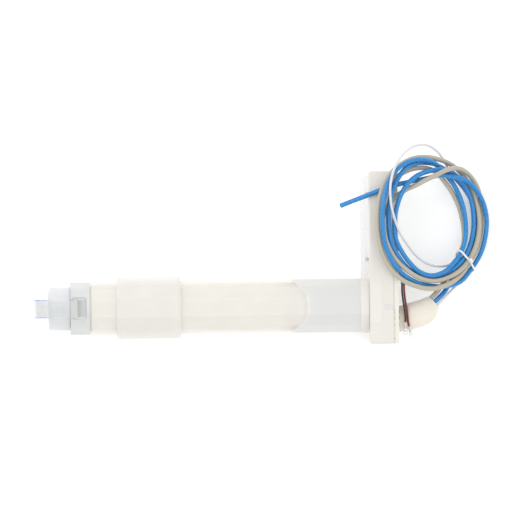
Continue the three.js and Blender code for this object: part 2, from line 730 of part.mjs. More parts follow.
// The level probe and the fitting for the blue tube, both through the head's left wall
function addPorts() {
  const seat = innerLeft + FIT;
  add('level_probe', turned([
    [headLeft - probe.rodLength, 0],
    [headLeft - probe.rodLength, probe.rod],
    [seat, probe.rod],
    [seat, probe.body],
    [seat + probe.bodyLength, probe.body],
    [seat + probe.bodyLength, 0],
  ], SMALL_SIDES).translate(0, probePlace, 0), looks.steel);
  const end = seat + fitting.bodyLength;
  const socket = cordRadius.blue + FIT;
  add('tube_fitting', turned([
    [headLeft, 0],
    [headLeft, fitting.stem],
    [seat, fitting.stem],
    [seat, fitting.body],
    [end, fitting.body],
    [end, socket],
    [end - fitting.socketDepth, socket],
    [end - fitting.socketDepth, 0],
  ], SMALL_SIDES).translate(0, fitting.place, 0), looks.white);
}

// The circuit board and what stands on it
function addBoard() {
  const left = innerLeft + board.standoff + FIT;
  const right = left + board.thickness;
  add('circuit_board', block([left, right], [boardBottom, boardTop],
    [-board.depth / 2, board.depth / 2]), looks.board);
  const seat = right + FIT;
  const place = boardBottom + boardLength * transformer.placeShare;
  const half = boardLength * transformer.lengthShare / 2;
  const core = half * transformer.coreShare;
  add('power_transformer', join(
    block([seat, seat + transformer.height * transformer.coreShare], [place - half, place + half],
      [-transformer.coreDepth / 2, transformer.coreDepth / 2]),
    block([seat, seat + transformer.height], [place - core, place + core],
      [-transformer.depth / 2, transformer.depth / 2])), looks.copper);
  const capacitorPlace = boardBottom + boardLength * capacitor.placeShare;
  add('smoothing_capacitor',
    rod(seat, seat + capacitor.height, capacitor.radius, capacitorPlace, 0), looks.black);
  const stripBottom = boardBottom + strip.fromEnd;
  const wells = [];
  for (let i = 0; i < strip.wells; i += 1) {
    const z = (i - (strip.wells - 1) / 2) * strip.depth / strip.wells;
    wells.push(rod(seat + strip.height - strip.wellDepth, seat + strip.height + OVERRUN,
      strip.wellRadius, stripBottom + strip.length / 2, z));
  }
  add('terminal_strip', cut(block([seat, seat + strip.height],
    [stripBottom, stripBottom + strip.length], [-strip.depth / 2, strip.depth / 2]), ...wells),
  looks.seal);
}

// The cords' free stretches follow points chosen by hand.
function line(points) {
  return points.map((point) => new THREE.Vector3(...point));
}

const mouthOut = new THREE.Vector3(cos(mouth.turn), sin(mouth.turn), 0);
const mouthAcross = new THREE.Vector3(sin(mouth.turn), -cos(mouth.turn), 0);
const mouthReach = mouth.white + cordRadius.white + boot.lip;
const mouthMiddle = new THREE.Vector3(
  bootTip - mouthReach * sin(mouth.turn), mouth.along, 0).sub(cordsOrigin);
const mouthPlace = (across) => mouthMiddle.clone()
  .addScaledVector(mouthAcross, across);

// The runs from inside the head to the mouth of the boot, seen from above, at the tube's height
const RUNS = {
  blue: [[179.6, -79], [195, -79], [211, -79], [222, -78.3], [232, -75.8], [243, -70.7],
    [252, -64.3]],
  grey: [[187.7, -2.4], [188.6, -22], [190.4, -42], [192, -55], [197.5, -66.5], [207, -71.3],
    [218, -71.3], [229, -68.8], [239, -64.2], [247.4, -59]],
  white: [[182.7, -88], [196, -88], [211, -88], [223, -86.6], [235, -82.6], [247, -76],
    [256.3, -67.8]],
};
const RUN_OFFSETS = { blue: 0, grey: mouth.grey, white: mouth.white };
const CORD_NAMES = { blue: 'blue_tube', grey: 'grey_cable', white: 'white_wire' };

// The free stretches from the boot to the tie, before the place where each coil starts
const LEADS = {
  blue: [[270.2, -46.2, 36.4], [278.1, -33.7, 30.9], [285.1, -21.4, 26.1]],
  grey: [[263, -43.3, 38.5], [270.8, -32.1, 36.2], [279, -19.7, 31.5]],
  white: [[274.5, -49.5, 36], [285, -39, 27], [294.5, -29.5, 19]],
};
const BLUE_TAIL = [[241, 100.3, 67.6], [231, 98.6, 74.2], [221.5, 96.5, 79.2], [213, 94.8, 82.3],
  [205.5, 92.8, 83.2], [196, 89.6, 83], [186.2, 86.2, 82.8], [175, 82, 82.7],
  [161, 76.8, 82.7], [147.7, 71.8, 82.7], [136, 67.4, 82.7]];
const CORES = {
  black: [[207.4, -12.4, 82], [211.2, -18.4, 81.3], [214, -25, 77.8], [215.3, -33.4, 72.6],
    [215.5, -45, 66.5], [216.7, -57, 62.2], [218.4, -68, 60.1], [219.2, -78, 59.6],
    [219.3, -84.5, 59.2]],
  red: [[210.3, -11.4, 81.4], [213.7, -17, 79.4], [216.4, -24, 75.8], [217.9, -33, 70.6],
    [218.3, -45, 64.5], [219.5, -57, 60.6], [221.4, -68, 59], [222.3, -78, 58.6],
    [222.9, -84.5, 57.6], [224, -90, 56]],
};

// The two leads from the electrode posts to the terminal strip
const ELECTRODE_LEADS = {
  upper: [[183.4, -65, 39.5], [184.9, -65, 39.5], [187, -64, 43.5], [187.5, -58, 48.5],
    [187.5, -40, 51], [187.7, -20, 51], [187.7, -2.4, 51]],
  lower: [[183.4, -51, 39.5], [184.6, -51, 39.4], [186, -50, 35.5], [186.5, -44, 30],
    [187.3, -30, 28], [187.7, -15, 28], [187.7, -2.4, 28]],
};

// The coil's plane leans on the head's edge. Its centre and tilt, the height of one layer, and how
// far each turn reaches at the eight compass points, from the lower right, against the clock.
const coil = {
  centre: new THREE.Vector3(249.6, 51.8, 53.5), tilt: 37 * PI / 180, layer: 6.8, gap: 0.7,
  stepsPerTurn: 24, rounds: 600, skip: 4,
  pushShare: 1.2, shapeShare: 0.25, holdShare: 0.01, shapingShare: 0.7,
};
const COILS = {
  blue: {
    reach: [81.5, 79.5, 68, 70, 73, 66, 72, 80, 76, 71, 65, 56, 58, 56, 67, 79, 69, 56, 57, 73, 84, 78,
      80, 86, 92, 87, 70, 51],
    layerShares: [0, 0, 0, -0.3, 0.1, 0, 0, 0, 0.5, 0.5, 1, 1, 1.6, 0.5, 0.3, 1, 1, 1, 1, 1, 1.5, 1, 0.2, 0,
      0, 1, 2, 1],
  },
  grey: {
    reach: [72, 56, 53, 67, 73, 74, 79, 85, 84, 79, 78, 73, 80, 81, 88, 93, 87, 84, 80, 56, 54, 70, 78],
    layerShares: [0, 0, 0, 0, 0, 0, 0, 1, 1, 1, 0, 0, 0, 0, 0, 1, 0, 0, 1, 2, 0, -0.8, -0.6],
  },
  white: {
    reach: [98, 92, 69, 93, 90, 63, 49, 61, 77],
    layerShares: [0, 0, -1, 0, 2, 1.5, 0, 0, -0.9],
  },
};
const COMPASS_START = 7;
const COMPASS_POINTS = 8;

// A smooth value between the entries of a list
function blend(values, place) {
  const i = min(floor(place), values.length - 2);
  const t = place - i;
  const at = (k) => values[min(max(i + k, 0), values.length - 1)];
  const into = (at(1) - at(-1)) / 2;
  const out = (at(2) - at(0)) / 2;
  return (2 * t ** 3 - 3 * t ** 2 + 1) * at(0) + (t ** 3 - 2 * t ** 2 + t) * into
    + (3 * t ** 2 - 2 * t ** 3) * at(1) + (t ** 3 - t ** 2) * out;
}

// Where a cord's turns run before they settle against one another
function drawnTurns({ reach, layerShares }) {
  const count = (reach.length - 1) * coil.stepsPerTurn / COMPASS_POINTS;
  const points = [];
  for (let step = 0; step <= count; step += 1) {
    const place = step * COMPASS_POINTS / coil.stepsPerTurn;
    const angle = (COMPASS_START + place) * 2 * PI / COMPASS_POINTS;
    const out = blend(reach, place);
    const lift = blend(layerShares, place) * coil.layer;
    points.push(new THREE.Vector3(
      out * cos(angle) * cos(coil.tilt) + lift * sin(coil.tilt),
      out * sin(angle),
      -out * cos(angle) * sin(coil.tilt) + lift * cos(coil.tilt)).add(coil.centre));
  }
  return points;
}

// The least distance between two straight pieces, and where along each it falls
function nearest(a, b, c, d) {
  const [u, v, w] = [b.clone().sub(a), d.clone().sub(c), a.clone().sub(c)];
  const [uu, uv, vv, uw, vw] = [u.dot(u), u.dot(v), v.dot(v), u.dot(w), v.dot(w)];
  const spread = uu * vv - uv * uv;
  let s = spread > Number.EPSILON ? min(max((uv * vw - vv * uw) / spread, 0), 1) : 1 / 2;
  const t = min(max((uv * s + vw) / vv, 0), 1);
  s = min(max((uv * t - uw) / uu, 0), 1);
  const apart = a.clone().addScaledVector(u, s).sub(c.clone().addScaledVector(v, t));
  return { s, t, apart, distance: apart.length() };
}

// Pairs of pieces of cord that are near enough to meet
function nearPairs(strands) {
  const pieces = [];
  strands.forEach((strand, k) => {
    for (let i = 0; i + 1 < strand.points.length; i += 1) pieces.push([k, i]);
  });
  const reach = coil.layer * COMPASS_POINTS;
  const pairs = [];
  pieces.forEach(([ka, ia], n) => {
    for (const [kb, ib] of pieces.slice(n + 1)) {
      if (strands[ka].held && strands[kb].held) continue;
      if (ka === kb && Math.abs(ia - ib) < coil.skip) continue;
      const away = strands[ka].points[ia].distanceTo(strands[kb].points[ib]);
      if (away < reach) pairs.push([ka, ia, kb, ib]);
    }
  });
  return pairs;
}

// The head's top right edge, as a held line without thickness that the turns lean on
function headEdge() {
  const [from, to] = [-head.below - cordsFrom.above, head.above - cordsFrom.above];
  const points = [];
  for (let i = 0; i <= coil.stepsPerTurn; i += 1) {
    const y = from + (to - from) * i / coil.stepsPerTurn;
    points.push(new THREE.Vector3(cordsFrom.right, y, headDepth));
  }
  return { name: 'head edge', radius: 0, held: true, points };
}

// Keeps a point of a cord off the floor and off the head's upper side
function keepOff(point, radius) {
  const clear = radius + coil.gap;
  const overHead = point.x < cordsFrom.right && point.y < head.above - cordsFrom.above + radius;
  point.z = max(point.z, overHead ? headDepth + clear : clear);
}

// Lets the turns push one another apart while each keeps its shape. The two points at each end
// stay where they are, so that what meets a coil meets it squarely.
function settle(strands) {
  for (const strand of strands) strand.start = strand.points.map((point) => point.clone());
  let pairs = [];
  for (let step = 0; step < coil.rounds; step += 1) {
    if (step % coil.stepsPerTurn === 0) pairs = nearPairs(strands);
    const moves = strands.map((strand) => strand.points.map(() => new THREE.Vector3()));
    const weights = strands.map((strand) => strand.points.map(() => 0));
    for (const [ka, ia, kb, ib] of pairs) {
      const [a, b] = [strands[ka], strands[kb]];
      const near = nearest(a.points[ia], a.points[ia + 1], b.points[ib], b.points[ib + 1]);
      const short = a.radius + b.radius + coil.gap - near.distance;
      if (short <= 0) continue;
      const push = near.apart.clone().setLength(short / (a.held || b.held ? 1 : 2));
      const ends = [[ka, ia, 1 - near.s, 1], [ka, ia + 1, near.s, 1],
        [kb, ib, 1 - near.t, -1], [kb, ib + 1, near.t, -1]];
      for (const [k, i, weight, way] of ends) {
        moves[k][i].addScaledVector(push, way * weight);
        weights[k][i] += weight;
      }
    }
    const shaping = step < coil.rounds * coil.shapingShare;
    strands.forEach((strand, k) => {
      if (strand.held) return;
      const { points, start } = strand;
      strand.points = points.map((point, i) => {
        const next = point.clone();
        if (i < 2 || i > points.length - 3) return next;
        next.addScaledVector(moves[k][i], coil.pushShare / max(weights[k][i], 1));
        if (shaping) {
          const bend = points[i - 1].clone().add(points[i + 1]).multiplyScalar(1 / 2).sub(point);
          const bent = start[i - 1].clone().add(start[i + 1]).multiplyScalar(1 / 2).sub(start[i]);
          next.addScaledVector(bend.sub(bent), coil.shapeShare);
          next.addScaledVector(start[i].clone().sub(point), coil.holdShare);
        }
        keepOff(next, strand.radius);
        return next;
      });
    });
  }
}

// The least gap between each pair of strands
function leastGaps(strands) {
  const least = {};
  for (const [ka, ia, kb, ib] of nearPairs(strands)) {
    const [a, b] = [strands[ka], strands[kb]];
    const near = nearest(a.points[ia], a.points[ia + 1], b.points[ib], b.points[ib + 1]);
    const key = `${a.name} to ${b.name}`;
    least[key] = min(least[key] ?? Infinity, near.distance - a.radius - b.radius);
  }
  return least;
}

// A point a little way past the end of a line, on its straight run
function beyond(points, distance, atStart) {
  const [end, next] = atStart ? [points[0], points[1]] : [points.at(-1), points.at(-2)];
  return end.clone().add(end.clone().sub(next).setLength(distance));
}

function addCords() {
  const coils = Object.entries(COILS).map(([name, table]) => ({
    name, radius: cordRadius[name], points: drawnTurns(table),
  }));
  const runHoles = [];
  const strands = [...coils, headEdge()];
  const hold = (name, points, radius) => {
    const { path, steps } = smoothLine(points, radius);
    strands.push({ name, radius, held: true, points: path.getSpacedPoints(steps) });
  };
  for (const { name, radius, points } of coils) {
    const exit = mouthPlace(RUN_OFFSETS[name]);
    const plan = RUNS[name].map(([x, y]) => new THREE.Vector3(x, y, halfDepth));
    const run = [...plan, exit.clone().addScaledVector(mouthOut, -radius), exit];
    const runName = CORD_NAMES[name];
    add(`${runName}_run`, cord(run, radius), looks[name], cords);
    const hole = [beyond(run, OVERRUN, true), ...run, beyond(run, OVERRUN, false)];
    runHoles.push(cord(hole, radius + 2 * FIT));
    const leadStart = exit.clone().addScaledVector(mouthOut, FIT);
    const lead = [leadStart, leadStart.clone().addScaledVector(mouthOut, 2 * radius),
      ...line(LEADS[name]), beyond(points, 3 * radius, true), beyond(points, FIT, true)];
    add(`${runName}_lead`, cord(lead, radius, name === 'white' ? 8 : 10), looks[name], cords);
    hold(`${name} lead`, lead.slice(0, -1), radius);
  }
  const blueEnd = coils[0].points;
  const tail = [
    beyond(blueEnd, FIT, false), beyond(blueEnd, cordRadius.blue, false), ...line(BLUE_TAIL)];
  add('blue_tube_tail', cord(tail, cordRadius.blue), looks.blue, cords);
  hold('tail', tail.slice(2), cordRadius.blue);
  const greyEnd = coils[1].points;
  const sideways = greyEnd.at(-1).clone().sub(greyEnd.at(-2)).cross(new THREE.Vector3(0, 0, 1))
    .setLength(cordRadius.core + FIT);
  Object.entries(CORES).forEach(([name, points], i) => {
    const shift = sideways.clone().multiplyScalar(i === 0 ? 1 : -1);
    const core = [beyond(greyEnd, FIT, false).add(shift),
      beyond(greyEnd, 2 * cordRadius.core, false).add(shift), ...line(points)];
    add(`${name}_lead`, cord(core, cordRadius.core, 8), looks[name], cords);
    hold(name, core.slice(2), cordRadius.core);
    const direction = core.at(-1).clone().sub(core.at(-2));
    addTerminal(`crimp_terminal_${i + 1}`, beyond(core, FIT, false), direction);
  });

  settle(strands);
  console.log('least gaps', leastGaps(strands));
  add('blue_tube_coil', wound(coils[0].points, cordRadius.blue), looks.blue, cords);
  add('grey_cable_coil', wound(coils[1].points, cordRadius.grey), looks.grey, cords);
  add('white_wire_coil', wound(coils[2].points, cordRadius.white), looks.white, cords);
  addTie(strands);
  Object.values(ELECTRODE_LEADS).forEach((points, i) => {
    add(`electrode_lead_${i + 1}`, cord(line(points), cordRadius.electrode, 8), looks.red, cords);
  });
  return runHoles;
}

// The tie round the bundle where the coils start: a band that follows the cords, with its lock
function addTie(strands) {
  const angle = COMPASS_START * 2 * PI / COMPASS_POINTS;
  const normal = new THREE.Vector3(sin(coil.tilt), 0, cos(coil.tilt));
  const flat = new THREE.Vector3(cos(coil.tilt), 0, -sin(coil.tilt));
  const outward = flat.multiplyScalar(cos(angle)).add(new THREE.Vector3(0, sin(angle), 0));
  const along = normal.clone().cross(outward);
  const bandPoints = (grow, half) => {
    const points = [];
    for (const { points: centres, radius } of strands.filter((strand) => strand.radius > 0)) {
      for (let i = 0; i + 1 < centres.length; i += 1) {
        for (let j = 0; j <= ARC_STEPS; j += 1) {
          const place = centres[i].clone().lerp(centres[i + 1], j / ARC_STEPS).sub(coil.centre);
          if (Math.abs(place.dot(along)) > tie.width || place.dot(outward) < 0) continue;
          for (let k = 0; k < SMALL_SIDES; k += 1) {
            const turn = 2 * PI * k / SMALL_SIDES;
            const across = place.dot(outward) + (radius + grow) * cos(turn);
            const up = place.dot(normal) + (radius + grow) * sin(turn);
            for (const way of [-half, half]) points.push([across, up, way]);
          }
        }
      }
    }
    return points;
  };
  const place = ([across, up, way]) => coil.centre.clone().addScaledVector(outward, across)
    .addScaledVector(normal, up).addScaledVector(along, way);
  const inner = bandPoints(2 * FIT, tie.width);
  const outer = bandPoints(2 * FIT + tie.thickness, tie.width / 2);
  const top = outer.reduce((best, point) => (point[1] > best[1] ? point : best));
  const lock = [];
  for (const across of [-tie.lockLength / 2, tie.lockLength / 2]) {
    for (const up of [-tie.thickness, tie.lockHeight]) {
      for (const way of [-tie.width * tie.lockShare, tie.width * tie.lockShare]) {
        lock.push(place([top[0] + across, top[1] + up, way]));
      }
    }
  }
  const ringBody = join(new ConvexGeometry(outer.map(place)), new ConvexGeometry(lock));
  add('cable_tie', cut(ringBody, new ConvexGeometry(inner.map(place))), looks.white, cords);
}

// A crimped ring terminal in a clear sleeve, from a place along a direction
function addTerminal(name, place, direction) {
  const barrel = rod(0, terminal.barrelLength, terminal.barrel, 0, 0, SMALL_SIDES);
  const reach = terminal.barrelLength + terminal.tongueLength;
  const neck = block([terminal.barrelLength - terminal.barrel, reach - terminal.tongue],
    [-terminal.barrel, terminal.barrel], [-terminal.thickness / 2, terminal.thickness / 2]);
  const eye = new THREE.CylinderGeometry(
    terminal.tongue, terminal.tongue, terminal.thickness, SMALL_SIDES).rotateX(PI / 2)
    .translate(reach - terminal.tongue, 0, 0);
  const hole = new THREE.CylinderGeometry(
    terminal.eye, terminal.eye, OVERRUN * 2, SMALL_SIDES).rotateX(PI / 2)
    .translate(reach - terminal.tongue, 0, 0);
  const geometry = cut(join(barrel, neck, eye), hole);
  const turn = new THREE.Quaternion().setFromUnitVectors(
    new THREE.Vector3(1, 0, 0), direction.clone().normalize());
  geometry.applyQuaternion(turn).translate(...place.toArray());
  add(name, geometry, looks.clear, cords);
}

// The boot: a rounded cone from the head's cover to a flat lip round the three cords
function addBoot(runHoles) {
  const points = [];
  boot.out.forEach((out, k) => {
    const depth = boot.depth * boot.half[k] / boot.half[0];
    for (let i = 0; i < boot.sides; i += 1) {
      const angle = 2 * PI * i / boot.sides;
      points.push(new THREE.Vector3(
        cordsFrom.right + FIT + out,
        boot.centre[k] + boot.half[k] * cos(angle) - cordsFrom.above,
        halfDepth + depth * sin(angle)));
    }
  });
  const [low, high] = [mouth.grey - cordRadius.grey - boot.lip, mouthReach];
  const lipHalf = cordRadius.blue + boot.lip;
  for (let i = 0; i < boot.sides; i += 1) {
    const angle = 2 * PI * i / boot.sides;
    const across = cos(angle) > 0 ? high - lipHalf : low + lipHalf;
    points.push(mouthPlace(across + lipHalf * cos(angle))
      .add(new THREE.Vector3(0, 0, lipHalf * sin(angle))));
  }
  const hull = new ConvexGeometry(points);
  const beyondMouth = block([0, boot.depth * 2], [-boot.depth * 4, boot.depth * 4],
    [-boot.depth * 2, boot.depth * 2]).rotateZ(mouth.turn).translate(...mouthMiddle.toArray());
  add('cable_boot', cut(hull, beyondMouth, ...runHoles), looks.boot, cords);
}

addTube();
addCartridge();
addStrap();
addHeadShell();
addHeadTrim();
addFlange();
addElectrodes();
addPorts();
addBoard();
const runHoles = addCords();
addBoot(runHoles);
addHeadCover(runHoles.map((hole) => hole.clone().translate(...cordsOrigin.toArray())));

export default generator;
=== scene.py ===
# %% [markdown]
# # A salt chlorine generator, dressed for a studio photograph
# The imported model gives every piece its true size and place. This script keeps that model as a
# fixed frame, makes fuller pieces over it, and gives each visible surface a procedural finish.
# All lengths below are millimetres until the last step of each piece, where MM makes them metres.

import json
from math import cos, pi, radians, sin

import bmesh
import bpy
import numpy as np
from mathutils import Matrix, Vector, geometry

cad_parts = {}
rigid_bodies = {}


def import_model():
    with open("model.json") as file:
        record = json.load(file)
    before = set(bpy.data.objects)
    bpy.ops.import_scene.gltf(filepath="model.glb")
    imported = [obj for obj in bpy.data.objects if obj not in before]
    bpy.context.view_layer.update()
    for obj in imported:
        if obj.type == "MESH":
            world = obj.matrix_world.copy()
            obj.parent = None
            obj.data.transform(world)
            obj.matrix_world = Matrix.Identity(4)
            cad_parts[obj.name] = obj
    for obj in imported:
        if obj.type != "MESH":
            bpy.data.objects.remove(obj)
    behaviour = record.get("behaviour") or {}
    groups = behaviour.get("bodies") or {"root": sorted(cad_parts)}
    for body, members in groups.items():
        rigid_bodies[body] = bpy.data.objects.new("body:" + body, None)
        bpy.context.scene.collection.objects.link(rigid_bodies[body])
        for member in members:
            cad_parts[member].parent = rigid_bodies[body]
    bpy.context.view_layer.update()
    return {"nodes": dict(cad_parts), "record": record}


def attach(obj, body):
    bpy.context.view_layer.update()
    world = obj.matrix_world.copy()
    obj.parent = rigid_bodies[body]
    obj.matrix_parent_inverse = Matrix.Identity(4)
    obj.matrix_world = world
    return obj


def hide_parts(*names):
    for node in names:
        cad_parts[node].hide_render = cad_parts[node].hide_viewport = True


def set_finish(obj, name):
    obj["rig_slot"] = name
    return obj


MM = 0.001
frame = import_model()


# %% [markdown]
# ## The camera
# The photograph looks straight down on a generator that lies flat, and shows no perspective, so an
# orthographic camera fits it. It is turned a little about the vertical, as the tube is in the photo.

# %% Camera
PIXEL = 1.3
FRAME_PIXELS = 510
TURN = radians(0.7)
VIEW_CENTRE = (24.8, 4.95)
CAMERA_HEIGHT = 1500

camera_data = bpy.data.cameras.new("camera")
camera_data.type = "ORTHO"
camera_data.ortho_scale = PIXEL * FRAME_PIXELS * MM
camera = bpy.data.objects.new("camera", camera_data)
camera.location = [value * MM for value in (*VIEW_CENTRE, CAMERA_HEIGHT)]
camera.rotation_euler = (0, 0, -TURN)
bpy.context.scene.collection.objects.link(camera)
bpy.context.scene.camera = camera
print("camera sees", round(camera_data.ortho_scale, 3), "m")


# %% [markdown]
# ## Surfaces from arrays
# Each new piece is a grid of points: rows follow one another along the piece and columns go round
# it. A grid whose last row meets its first is a ring-shaped solid. One whose ends are closed by
# flat faces is a rod. Working out the whole grid as one array keeps the formula in sight.

# %% Grid to mesh
def enclosed(mesh):
    """Volume within a mesh: a sixth of the sum of each triangle's box product"""
    mesh.calc_loop_triangles()
    corners = np.empty(len(mesh.loop_triangles) * 3, np.int32)
    mesh.loop_triangles.foreach_get("vertices", corners)
    places = np.empty(len(mesh.vertices) * 3, np.float32)
    mesh.vertices.foreach_get("co", places)
    a, b, c = places.reshape(-1, 3)[corners.reshape(-1, 3)].transpose(1, 0, 2)
    return float(np.einsum("ij,ij->i", a, np.cross(b, c)).sum()) / 6


def grid_faces(rows, columns, ring):
    """Four-sided faces of a grid that is closed across its columns, and along its rows if ring"""
    row = np.arange(rows if ring else rows - 1)[:, None]
    column = np.arange(columns)[None, :]
    following = (row + 1) % rows
    right = (column + 1) % columns
    corners = (row * columns + column, row * columns + right,
               following * columns + right, following * columns + column)
    return np.stack(corners, -1).reshape(-1, 4)


def mesh_piece(name, points, faces, smooth_angle=35):
    """A mesh object in metres from points in millimetres, its faces turned outwards"""
    mesh = bpy.data.meshes.new(name)
    mesh.from_pydata((np.asarray(points, float).reshape(-1, 3) * MM).tolist(), [], faces)
    if enclosed(mesh) < 0:
        mesh.flip_normals()
    mesh.shade_smooth()
    mesh.set_sharp_from_angle(angle=radians(smooth_angle))
    piece = bpy.data.objects.new(name, mesh)
    bpy.context.scene.collection.objects.link(piece)
    return piece


def grid_piece(name, grid, ring=False, smooth_angle=35):
    """A piece from a grid of points: ring-shaped, or closed at both ends by flat faces"""
    grid = np.asarray(grid, float)
    rows, columns = grid.shape[:2]
    faces = grid_faces(rows, columns, ring).tolist()
    if not ring:
        faces.append(list(range(columns))[::-1])
        faces.append(list(range((rows - 1) * columns, rows * columns)))
    return mesh_piece(name, grid, faces, smooth_angle)


def spread(piece, name, values):
    """Keeps one number per vertex as an attribute that a material can read"""
    layer = piece.data.attributes.new(name, "FLOAT", "POINT")
    layer.data.foreach_set("value", np.asarray(values, np.float32).ravel())


def dress(piece, body, slot, *nodes):
    """Says which body moves a piece, which CAD nodes it stands for, and its material slot"""
    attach(piece, body)
    if nodes:
        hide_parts(*nodes)
    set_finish(piece, slot)


# %% Circles and distances
def circle(count):
    """Points of a circle of radius one: the cosine and sine of evenly spread angles"""
    angle = np.linspace(0, 2 * pi, count, endpoint=False)
    return np.stack([np.cos(angle), np.sin(angle)], 1)


def closed(outline):
    """An outline with its first point once more at its end"""
    return np.vstack([outline, outline[:1]])


def distances(points):
    """Distance of each point from the first, measured along the line through them"""
    return np.concatenate([[0], np.cumsum(np.linalg.norm(np.diff(points, axis=0), axis=1))])


def resampled(wanted, along, points):
    """Points at the wanted distances, on straight lines between points that lie at along"""
    return np.stack([np.interp(wanted, along, column) for column in np.transpose(points)], 1)


# %% Paths through points
PATH_STEPS = 24
BEVEL_SHARE = 0.25


def smooth_path(points, spacing):
    """Centripetal Catmull-Rom curve through the points, sampled at even distances along it.

    Each stretch is a cubic whose end slopes weigh the neighbouring chords by the square root of
    their lengths, so that the curve doesn't swing out where the points are uneven.
    """
    points = np.asarray(points, float)
    inner = np.vstack([2 * points[0] - points[1], points, 2 * points[-1] - points[-2]])
    p0, p1, p2, p3 = inner[:-3], inner[1:-2], inner[2:-1], inner[3:]
    root = lambda a, b: np.linalg.norm(b - a, axis=1, keepdims=True) ** 0.5
    d0, d1, d2 = root(p0, p1), root(p1, p2), root(p2, p3)
    slope1 = ((p1 - p0) / d0 - (p2 - p0) / (d0 + d1) + (p2 - p1) / d1) * d1
    slope2 = ((p2 - p1) / d1 - (p3 - p1) / (d1 + d2) + (p3 - p2) / d2) * d1
    t = np.linspace(0, 1, PATH_STEPS, endpoint=False)[None, :, None]
    start, end = p1[:, None], p2[:, None]
    into, out = slope1[:, None], slope2[:, None]
    cubic = (start + into * t + (3 * (end - start) - 2 * into - out) * t ** 2
             + (2 * (start - end) + into + out) * t ** 3)
    dense = np.vstack([cubic.reshape(-1, 3), points[-1]])
    along = distances(dense)
    count = max(len(points), round(along[-1] / spacing))
    return resampled(np.linspace(0, along[-1], count + 1), along, dense)


def path_length(path):
    """Sum of the straight distances between neighbouring points"""
    return float(np.linalg.norm(np.diff(path, axis=0), axis=1).sum())


def path_frames(path):
    """Direction, side and up at each point of a path, the side turned as little as possible"""
    along = np.gradient(path, axis=0)
    along /= np.linalg.norm(along, axis=1, keepdims=True)
    side = np.zeros_like(along)
    side[0] = np.cross(along[0], (0, 0, 1) if abs(along[0][2]) < 0.9 else (1, 0, 0))
    for i in range(len(path)):
        carried = side[max(i - 1, 0)]
        carried = carried - along[i] * carried.dot(along[i])
        side[i] = carried / np.linalg.norm(carried)
    return along, side, np.cross(along, side)


def cord_piece(name, path, radius, sides=14):
    """A round cord: circles of the radius, square to the path, with its ends rounded over.

    It carries the distance from its start, in metres, as the attribute length.
    """
    along, side, up = path_frames(path)
    bevel = radius * BEVEL_SHARE
    reach = np.concatenate([[radius - bevel], np.full(len(path), radius), [radius - bevel]])
    shift = np.concatenate([[0], [bevel], np.zeros(len(path) - 2), [-bevel], [0]])
    keep = np.concatenate([[0], np.arange(len(path)), [len(path) - 1]])
    centre = path[keep] + along[keep] * shift[:, None]
    cosine, sine = circle(sides).T[:, None, :, None]
    ring = cosine * side[keep][:, None] + sine * up[keep][:, None]
    piece = grid_piece(name, centre[:, None] + ring * reach[:, None, None], smooth_angle=60)
    spread(piece, "length", np.repeat(distances(path)[keep] * MM, sides))
    return piece


# %% [markdown]
# ## How the cords lie
# A real bundle of cords is wound, tied and dropped: each turn takes the place that its neighbours
# leave. A drawn coil would pass through itself, so each turn is first drawn roughly, on a plane
# that leans on the power head's edge, and then the turns push one another apart while each keeps
# the bend that it was drawn with. The free stretches between the boot, the tie and the ends are
# lines of listed points.

# %% Cord sizes and listed points
FIT = 0.3
RADIUS = {"blue": 3.15, "grey": 3.15, "white": 1.65, "core": 1.3, "electrode": 1.2}
HEAD_RIGHT = 210.95
HEAD_BOTTOM, HEAD_TOP = -112.5, 112.5
TUBE_CORNER, CORNER_TURN, SLEEVE_WALL = 36, radians(18), 4.96
HEAD_DEPTH = 2 * (TUBE_CORNER * cos(CORNER_TURN) + FIT + SLEEVE_WALL)
AXIS_Y, AXIS_Z = -62, HEAD_DEPTH / 2
BOOT_LENGTH, BOOT_LIP = 52, 1.2
MOUTH_TURN, MOUTH_SHIFT = pi / 4, 2.9
MOUTH_PLACES = {"blue": 0, "grey": -6.9, "white": 5.4}

RUNS = {
    "blue": [(179.6, -79), (195, -79), (211, -79), (222, -78.3), (232, -75.8), (243, -70.7),
             (252, -64.3)],
    "grey": [(187.7, -2.4), (188.6, -22), (190.4, -42), (192, -55), (197.5, -66.5), (207, -71.3),
             (218, -71.3), (229, -68.8), (239, -64.2), (247.4, -59)],
    "white": [(182.7, -88), (196, -88), (211, -88), (223, -86.6), (235, -82.6), (247, -76),
              (256.3, -67.8)],
}
LEADS = {
    "blue": [(270.2, -46.2, 36.4), (278.1, -33.7, 30.9), (285.1, -21.4, 26.1)],
    "grey": [(263, -43.3, 38.5), (270.8, -32.1, 36.2), (279, -19.7, 31.5)],
    "white": [(274.5, -49.5, 36), (285, -39, 27), (294.5, -29.5, 19)],
}
BLUE_TAIL = [(241, 100.3, 67.6), (231, 98.6, 74.2), (221.5, 96.5, 79.2), (213, 94.8, 82.3),
             (205.5, 92.8, 83.2), (196, 89.6, 83), (186.2, 86.2, 82.8), (175, 82, 82.7),
             (161, 76.8, 82.7), (147.7, 71.8, 82.7), (136, 67.4, 82.7)]
CORES = {
    "black": [(207.4, -12.4, 82), (211.2, -18.4, 81.3), (214, -25, 77.8), (215.3, -33.4, 72.6),
              (215.5, -45, 66.5), (216.7, -57, 62.2), (218.4, -68, 60.1), (219.2, -78, 59.6),
              (219.3, -84.5, 59.2)],
    "red": [(210.3, -11.4, 81.4), (213.7, -17, 79.4), (216.4, -24, 75.8), (217.9, -33, 70.6),
            (218.3, -45, 64.5), (219.5, -57, 60.6), (221.4, -68, 59), (222.3, -78, 58.6),
            (222.9, -84.5, 57.6), (224, -90, 56)],
}
